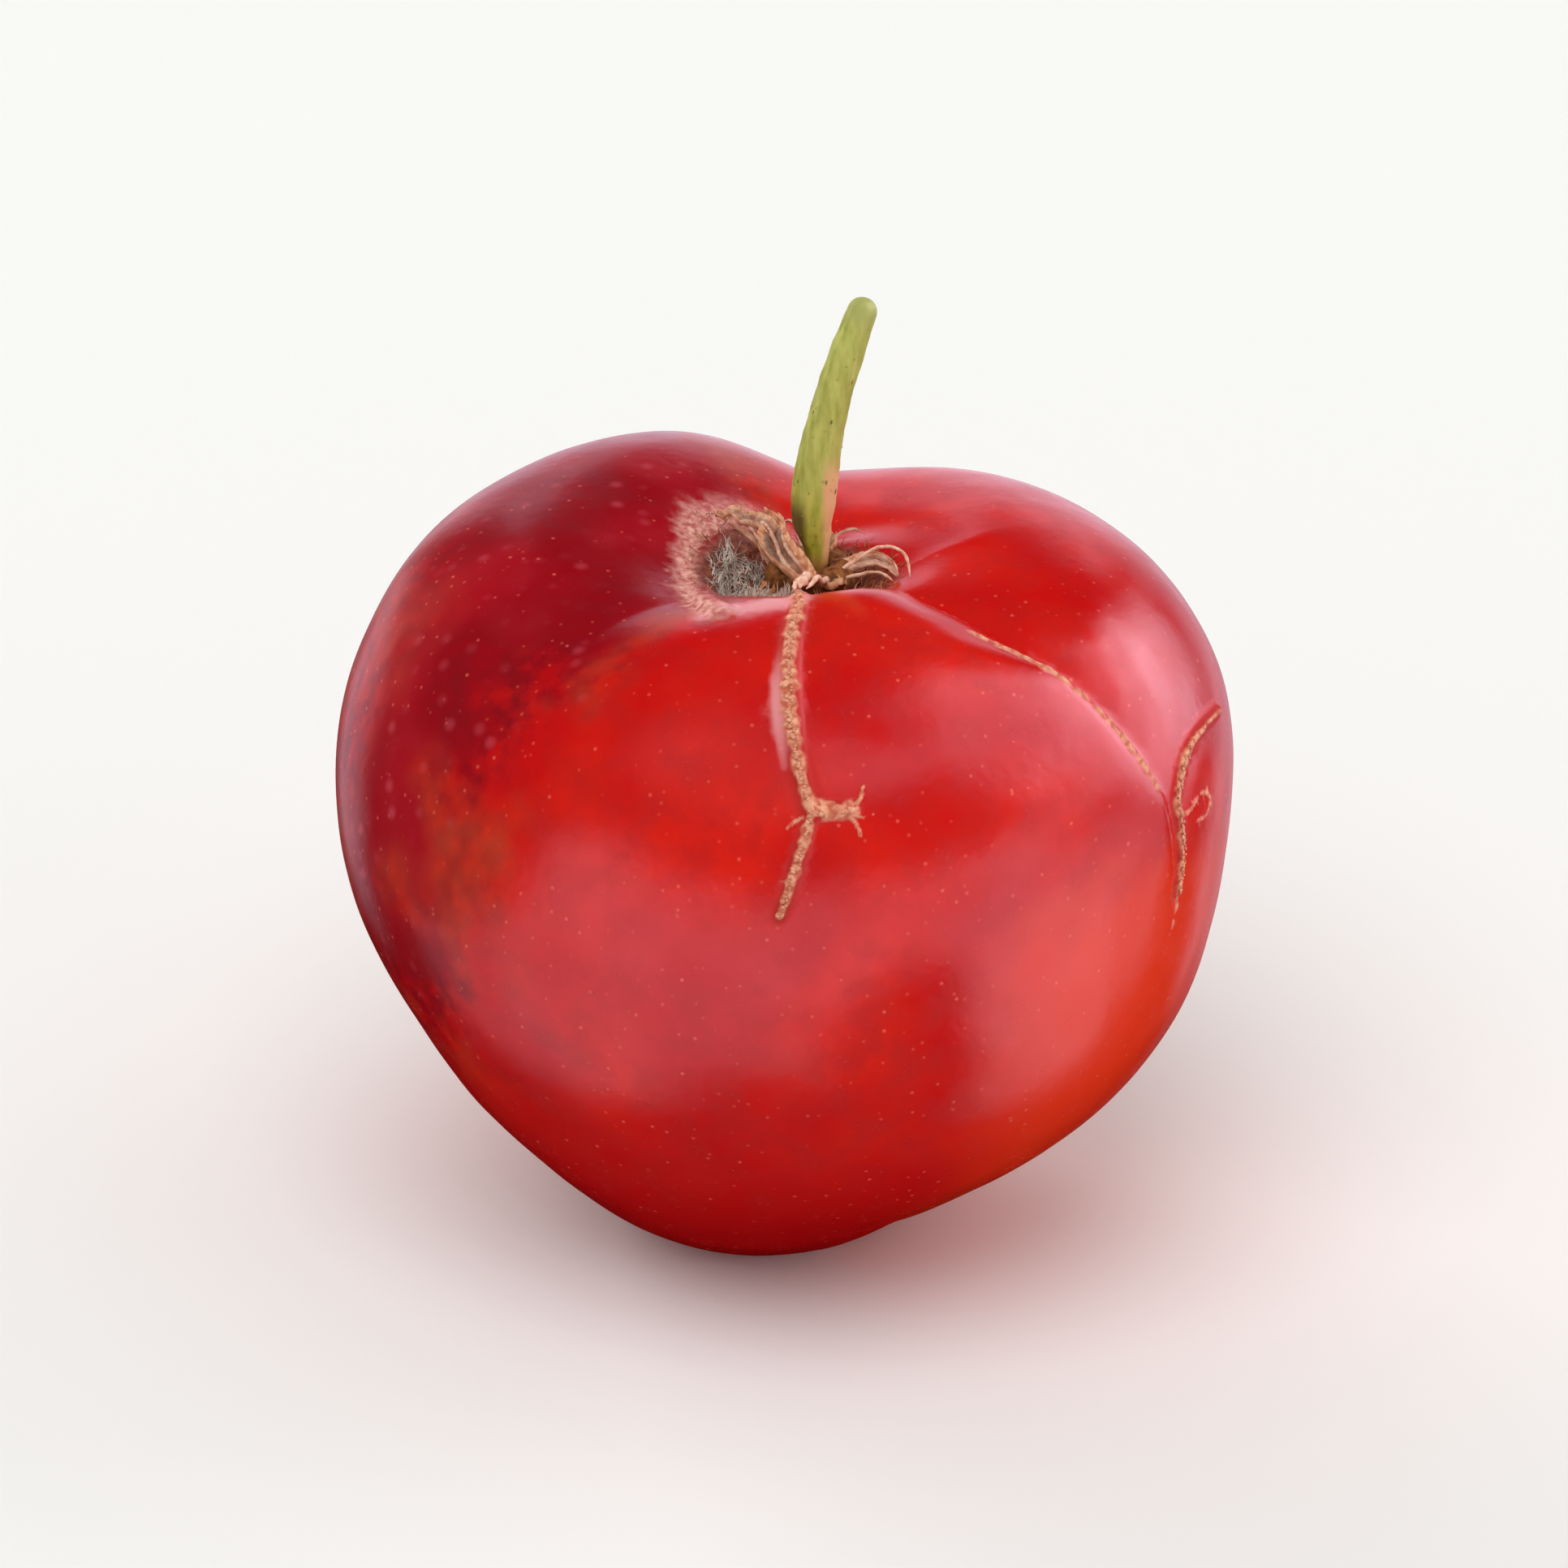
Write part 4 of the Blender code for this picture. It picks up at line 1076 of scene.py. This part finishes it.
def carrier(name, points, edges, faces, vectors, label):
    """A plain mesh to grow on, from points in metres, with a labelled vector on each point."""
    made = bpy.data.meshes.new(name)
    made.from_pydata([tuple(point) for point in points], edges, faces)
    made.update()
    store = made.attributes.new(label, "FLOAT_VECTOR", "POINT")
    store.data.foreach_set("vector", np.asarray(vectors, dtype=np.float32).ravel())
    return made


def dry_tissue(name, dark, light, patch=0.35, detail=2.0, low=0.38, high=0.62, roughness=0.85, relief=0.0):
    """Dead plant tissue, matt, in patches between two colours, with relief in mm as bump."""
    made, tree, surface, place = new_material(name)
    cloud, spread = patches(tree, place, patch, detail, low, high)
    colour = add(tree, "ShaderNodeMix", {0: spread, 6: linear(dark), 7: linear(light)}, data_type="RGBA")
    feed(surface, {"Base Color": colour, "Roughness": roughness})
    if relief:
        bump = add(tree, "ShaderNodeBump", {"Height": cloud, "Strength": 0.6, "Distance": relief * MM})
        feed(surface, {"Normal": bump})
    return made


# %% Cork flakes
def cork_tree():
    """Small flat flakes along curves, turned at random, lying against the skin."""
    tree, sizes = new_tree("cork flakes", Spacing=0.2, Length=0.2, Width=0.2, Thickness=0.05,
                           Scatter=0.1, Seed=1)
    curve = add(tree, "GeometryNodeMeshToCurve", {"Mesh": sizes["Geometry"]})
    dots = add(tree, "GeometryNodeResampleCurve", {"Curve": curve, "Length": sizes["Spacing"]}, mode="LENGTH")
    out = add(tree, "GeometryNodeInputNamedAttribute", {"Name": "out"}, data_type="FLOAT_VECTOR")
    tangent = add(tree, "GeometryNodeInputTangent")
    side = add(tree, "ShaderNodeVectorMath", {0: tangent, 1: out}, operation="CROSS_PRODUCT")
    chance = add(tree, "FunctionNodeRandomValue", {2: -1.0, 3: 1.0, "Seed": sizes["Seed"]})
    reach = add(tree, "ShaderNodeMath", {0: chance, 1: sizes["Scatter"]}, operation="MULTIPLY")
    offset = add(tree, "ShaderNodeVectorMath", {0: side, "Scale": reach}, operation="SCALE")
    moved = add(tree, "GeometryNodeSetPosition", {"Geometry": dots, "Offset": offset})
    flake = pebble(tree, sizes["Length"], sizes["Width"], sizes["Thickness"])
    stand = add(tree, "FunctionNodeAlignRotationToVector", {"Vector": out}, axis="Z")
    lie = add(tree, "FunctionNodeAlignRotationToVector", {"Rotation": stand, "Vector": tangent},
              axis="X", pivot_axis="Z")
    lean = add(tree, "FunctionNodeRandomValue",
               {0: (-0.25, -0.25, -0.9), 1: (0.25, 0.25, 0.9), "Seed": sizes["Seed"]},
               data_type="FLOAT_VECTOR")
    lean = add(tree, "FunctionNodeEulerToRotation", {0: lean})
    turned = add(tree, "FunctionNodeRotateRotation", {"Rotation": lie, "Rotate By": lean},
                 rotation_space="LOCAL")
    real = scatter(tree, moved, flake, turned, 0.6, 1.3, sizes["Seed"])
    # Each flake's own points are moved by noise of 0.12 mm, so no two are alike.
    rough = wander(tree, add(tree, "GeometryNodeInputPosition"), 1 / (0.12 * MM), 1.0, 0.09 * MM)
    crusty = add(tree, "GeometryNodeSetPosition", {"Geometry": real, "Offset": rough})
    return close_tree(tree, crusty, dry_tissue("dry cork tissue", "#c47257", "#e6a585", 0.3, 3.0, 0.35,
                                               0.65, roughness=0.75, relief=0.02))


points, edges, normals = [], [], []
for scar in RIDGES:
    path = scar["path"][scar.get("bare", 0):]
    edges += [(len(points) + index, len(points) + index + 1) for index in range(len(path) - 1)]
    points += list(skin(path, np.full(len(path), 0.1 * scar["height"])) * MM)
    normals += list(path)
grow("cork_flakes_ridges", "skin", carrier("scar lines", points, edges, [], normals, "out"), cork_tree(),
     Spacing=0.085, Length=0.13, Width=0.15, Thickness=0.028, Scatter=0.08, Seed=4)

# %% Fringe and fuzz
def strand_tree(material):
    """Thin, tapering, bent strands that stand on the faces of a mesh."""
    tree, sizes = new_tree("dried strands", Density=1.0, Length=0.5, Thickness=0.04, Bend=0.2,
                           Lean=0.5, Seed=1)
    dots = add(tree, "GeometryNodeDistributePointsOnFaces",
               {"Mesh": sizes["Geometry"], "Density": sizes["Density"], "Seed": sizes["Seed"]})
    end = add(tree, "ShaderNodeCombineXYZ", {2: sizes["Length"]})
    line = add(tree, "GeometryNodeCurvePrimitiveLine", {"End": end})
    line = add(tree, "GeometryNodeResampleCurve", {"Curve": line, "Count": 7}, mode="COUNT")
    lay = add(tree, "GeometryNodeInputNamedAttribute", {"Name": "lay"}, data_type="FLOAT_VECTOR")
    stray = add(tree, "FunctionNodeRandomValue",
                {0: (-1.0, -1.0, -1.0), 1: (1.0, 1.0, 1.0), "Seed": sizes["Seed"]},
                data_type="FLOAT_VECTOR")
    stray = add(tree, "ShaderNodeVectorMath", {0: stray, "Scale": sizes["Lean"]}, operation="SCALE")
    aim = add(tree, "ShaderNodeVectorMath", {0: lay, 1: stray}, operation="ADD")
    turned = add(tree, "FunctionNodeAlignRotationToVector", {"Vector": aim}, axis="Z")
    real = scatter(tree, dots, line, turned, 0.45, 1.25, sizes["Seed"])
    # Noise of 0.5 mm bends each strand, most at its tip.
    share = add(tree, "GeometryNodeSplineParameter")
    reach = add(tree, "ShaderNodeMath", {0: share, 1: sizes["Bend"]}, operation="MULTIPLY")
    reach = add(tree, "ShaderNodeMath", {0: reach, 1: 4.0}, operation="MULTIPLY")
    sway = wander(tree, add(tree, "GeometryNodeInputPosition"), 1 / (0.5 * MM), 1.0, reach)
    bent = add(tree, "GeometryNodeSetPosition", {"Geometry": real, "Offset": sway})
    ring = add(tree, "GeometryNodeCurvePrimitiveCircle", {"Resolution": 5, "Radius": 0.5})
    taper = add(tree, "ShaderNodeMapRange", {"Value": share, 1: 0.0, 2: 1.0, 3: 1.0, 4: 0.25})
    thick = add(tree, "ShaderNodeMath", {0: taper, 1: sizes["Thickness"]}, operation="MULTIPLY")
    tubes = add(tree, "GeometryNodeCurveToMesh",
                {"Curve": bent, "Profile Curve": ring, "Scale": thick, "Fill Caps": True})
    return close_tree(tree, tubes, material)


GRID_STEPS = 60


def patch(name, inside, upright):
    """The skin round the hollow where inside(polar, azimuth) holds. It stores the way strands lie:
    straight up off the skin when upright is 1, and flat and outward from the stalk when it is 0."""
    polars = np.linspace(2, 30, GRID_STEPS)
    azimuths = np.linspace(-180, 180, 2 * GRID_STEPS, endpoint=False)
    grid_p, grid_a = [grid.ravel() for grid in np.meshgrid(polars, azimuths, indexing="ij")]
    wide = len(azimuths)
    faces = []
    for row in range(GRID_STEPS - 1):
        for column in range(wide):
            if inside(polars[row], azimuths[column]):
                after = (column + 1) % wide
                faces.append((row * wide + column, (row + 1) * wide + column,
                              (row + 1) * wide + after, row * wide + after))
    up = direction(grid_p, grid_a)
    lay = upright * up + (1 - upright) * direction(grid_p + 80, grid_a)
    return carrier(name, skin(up) * MM, [], faces, lay, "lay")


def grow_strands(name, slot, upright, inside, finish, **sizes):
    """Strands on a patch of the hollow, as one piece. Finish is a material's name and two colours."""
    grow(name, slot, patch(name, inside, upright), strand_tree(dry_tissue(*finish)), **sizes)


# How far down the frayed ring reaches, as (azimuth, polar angle).
FRINGE_REACH = [(-175, 25.5), (-140, 25.5), (-120, 22.8), (-95, 21.2), (-60, 21.2)]
grow_strands("hollow_fuzz", "dried_calyx", 1.0,
             lambda polar, azimuth: 4 < polar < 17.5 and -130 < azimuth < -10,
             ("grey dried fuzz", "#94857a", "#e9ddd2"),
             Density=1.1e8, Length=0.36, Thickness=0.036, Bend=0.2, Lean=0.8, Seed=3)
grow_strands("hollow_shreds", "dried_calyx", 1.0,
             lambda polar, azimuth: 5 < polar < 16 and not -130 < azimuth < -10,
             ("brown dried fuzz", "#8a3f22", "#bd7450"),
             Density=2.2e7, Length=0.26, Thickness=0.05, Bend=0.2, Lean=0.8, Seed=8)
grow_strands("rim_fringe", "skin", 0.3,
             lambda polar, azimuth: -172 < azimuth < -48 and 19.6 < polar < through(FRINGE_REACH, azimuth),
             ("tan frayed skin", "#a9584e", "#dcab9b"),
             Density=2.8e7, Length=0.27, Thickness=0.034, Bend=0.2, Lean=1.1, Seed=5)
grow_strands("rim_shreds", "skin", 0.4,
             lambda polar, azimuth: 18.8 < polar < 20.5 and -170 < azimuth < -64,
             ("brown frayed skin", "#9c553c", "#cf9a7e"),
             Density=1.1e7, Length=0.36, Thickness=0.06, Bend=0.25, Lean=1.0, Seed=9)

# %% Pores of the stalk
def pore_tree():
    """Small oval bumps on the faces of a mesh."""
    tree, sizes = new_tree("stalk pores", Density=1.0, Length=0.16, Width=0.07, Thickness=0.04, Seed=1)
    dots = add(tree, "GeometryNodeDistributePointsOnFaces",
               {"Mesh": sizes["Geometry"], "Density": sizes["Density"], "Seed": sizes["Seed"]})
    pore = pebble(tree, sizes["Width"], sizes["Length"], sizes["Thickness"])
    stand = add(tree, "FunctionNodeAlignRotationToVector", {"Vector": dots.outputs["Normal"]}, axis="Z")
    upright = add(tree, "FunctionNodeAlignRotationToVector", {"Rotation": stand, "Vector": (0.2, 0.0, 1.0)},
                  axis="Y", pivot_axis="Z")
    real = scatter(tree, dots, pore, upright, 0.5, 1.2, sizes["Seed"])
    return close_tree(tree, real, dry_tissue("brown bark pore", "#7a6a30", "#9a8c48"))


grow("stalk_pores", "stalk_skin", stalk.data.copy(), pore_tree(), Density=1.4e6, Seed=6)

# %% [markdown]
# ## Floor, room and lights
# The floor is pale and plain, and the room behind has the same colour, so no horizon shows. What
# a glossy fruit looks like depends on what it mirrors. In the photograph that is a bright strip
# low in front, a large window on the right, and darkness above the camera. The world does this:
# it is plain for the camera, and for reflections it is a dark room with soft lights in it, each
# one round, and where several overlap, the brightest counts.
# Four suns with a wide, soft disc shade the fruit. They light the floor evenly, so it stays plain.

# %% Floor
PAPER = "#f5f5f0"
FLOOR_HALF = 1.5                         # metres

floor_data = bpy.data.meshes.new("floor")
floor_data.from_pydata([(x * FLOOR_HALF, y * FLOOR_HALF, 0) for x, y in ((-1, -1), (1, -1), (1, 1), (-1, 1))],
                       [], [(0, 1, 2, 3)])
floor = new_object("floor", floor_data)
paper, _, surface, _ = new_material("matt white paper")
feed(surface, {"Base Color": linear("#e6e6e6"), "Roughness": 0.9, "Specular IOR Level": 0.0})
floor_data.materials.append(paper)
floor.visible_glossy = False
print("floor width in metres:", 2 * FLOOR_HALF)

# %% Room
# Soft round lights of the room that the wax mirrors: azimuth, elevation, the half-widths in
# degrees of the bright middle and of its soft edge, and how bright it is.
ROOM_LIGHTS = [
    # the bright strip low in front, from left to right
    (-84, -38, 6, 24, 0.8), (-52, -30, 14, 34, 1.5), (-48, 2, 12, 26, 2.0), (-20, -14, 12, 30, 1.9),
    (-14, -32, 4, 22, 1.5), (8, -12, 10, 24, 1.8), (28, -2, 6, 20, 1.7), (54, -2, 12, 24, 2.2),
    (68, -20, 12, 26, 2.5), (80, -38, 6, 24, 1.5), (100, -12, 4, 24, 1.2),
    # two reflections of the ceiling, and the large window on the right
    (20, 55, 3, 16, 1.2), (48, 52, 4, 15, 1.7), (-48, 54, 3, 14, 0.3),
    (106, 27, 12, 39, 6.9), (94, 53, 11, 23, 2.9),
    (122, 6, 8, 24, 3.6), (138, 13, 4, 14, 2.6), (70, 42, 5, 16, 2.8),
    # dim walls behind, which only the fruit's edges mirror
    (-146, -14, 8, 20, 0.8), (162, -14, 8, 22, 0.8), (178, -5, 6, 21, 1.3), (168, 11, 5, 15, 1.0),
    (146, -21, 6, 14, 0.85), (-173, 15, 4, 9, 0.9),
]
EVEN_LIGHT = 0.66                        # for shading, all round
WOBBLE = 0.38                            # how uneven the lights' edges are


def outward(turn, rise):
    """The direction of an azimuth and an elevation in degrees, as a unit vector."""
    turn, rise = math.radians(turn), math.radians(rise)
    return Vector((math.sin(turn) * math.cos(rise), -math.cos(turn) * math.cos(rise), math.sin(rise)))


def round_light(tree, look, turn, rise, inner, outer, strength):
    """Brightness of a round patch of the room, as a node."""
    near = add(tree, "ShaderNodeVectorMath", {0: look, 1: outward(turn, rise)}, operation="DOT_PRODUCT")
    return add(tree, "ShaderNodeMapRange", {"Value": near, 1: math.cos(math.radians(outer)),
                                            2: math.cos(math.radians(inner)), 3: 0.0, 4: strength},
               interpolation_type="SMOOTHSTEP")


def room():
    """The world: plain for the camera, even for shading, and a studio for reflections."""
    world = bpy.data.worlds.new("studio")
    bpy.context.scene.world = world
    world.use_nodes = True
    tree = world.node_tree
    tree.nodes.clear()
    ray = add(tree, "ShaderNodeLightPath")
    look = add(tree, "ShaderNodeTexCoord").outputs["Generated"]
    shift = wander(tree, look, 3.5, 2.0, WOBBLE)
    look = add(tree, "ShaderNodeVectorMath", {0: look, 1: shift}, operation="ADD")
    look = add(tree, "ShaderNodeVectorMath", {0: look}, operation="NORMALIZE")
    seen = round_light(tree, look, *ROOM_LIGHTS[0])
    for light in ROOM_LIGHTS[1:]:
        here = round_light(tree, look, *light)
        seen = add(tree, "ShaderNodeMath", {0: seen, 1: here}, operation="MAXIMUM")
    # Thin cloud over all of them, so no reflection is a flat patch.
    cloud = add(tree, "ShaderNodeTexNoise", {"Vector": look, "Scale": 6.0, "Detail": 3.0})
    cloudy = add(tree, "ShaderNodeMapRange", {"Value": cloud, 1: 0.3, 2: 0.7, 3: 0.55, 4: 1.25})
    seen = add(tree, "ShaderNodeMath", {0: seen, 1: cloudy}, operation="MULTIPLY")

    mirrored = add(tree, "ShaderNodeBackground", {"Color": linear("#ecebfe"), "Strength": seen})
    even, plain = [add(tree, "ShaderNodeBackground", {"Color": linear(PAPER), "Strength": strength})
                   for strength in (EVEN_LIGHT, 1.0)]
    shading = add(tree, "ShaderNodeMixShader", {0: ray.outputs["Is Glossy Ray"], 1: even, 2: mirrored})
    full = add(tree, "ShaderNodeMixShader", {0: ray.outputs["Is Camera Ray"], 1: shading, 2: plain})
    add(tree, "ShaderNodeOutputWorld", {"Surface": full})
    world.cycles.sampling_method = "MANUAL"
    world.cycles.sample_map_resolution = 512


room()
print("room lights:", len(ROOM_LIGHTS))

# %% Suns
# Each by its azimuth and elevation, its strength in watts a square metre, and its disc in degrees.
SUNS = {"ceiling": (-20, 62, 1.38, 50), "right window": (118, 26, 0.45, 40),
        "low right": (62, 4, 0.75, 40), "left window": (-146, 4, 3.2, 40)}

for name, (turn, rise, strength, disc) in SUNS.items():
    data = bpy.data.lights.new(name, "SUN")
    data.energy = strength
    data.angle = math.radians(disc)
    sun = new_object(name, data)
    sun.rotation_euler = outward(turn, rise).to_track_quat("Z", "Y").to_euler()
    sun.visible_glossy = False

# %% [markdown]
# ## Finish
# The picture keeps Blender's plain colour transform, so that the pale floor stays as pale as in
# the photograph.

# %% Finish
bpy.context.scene.view_settings.view_transform = "Standard"
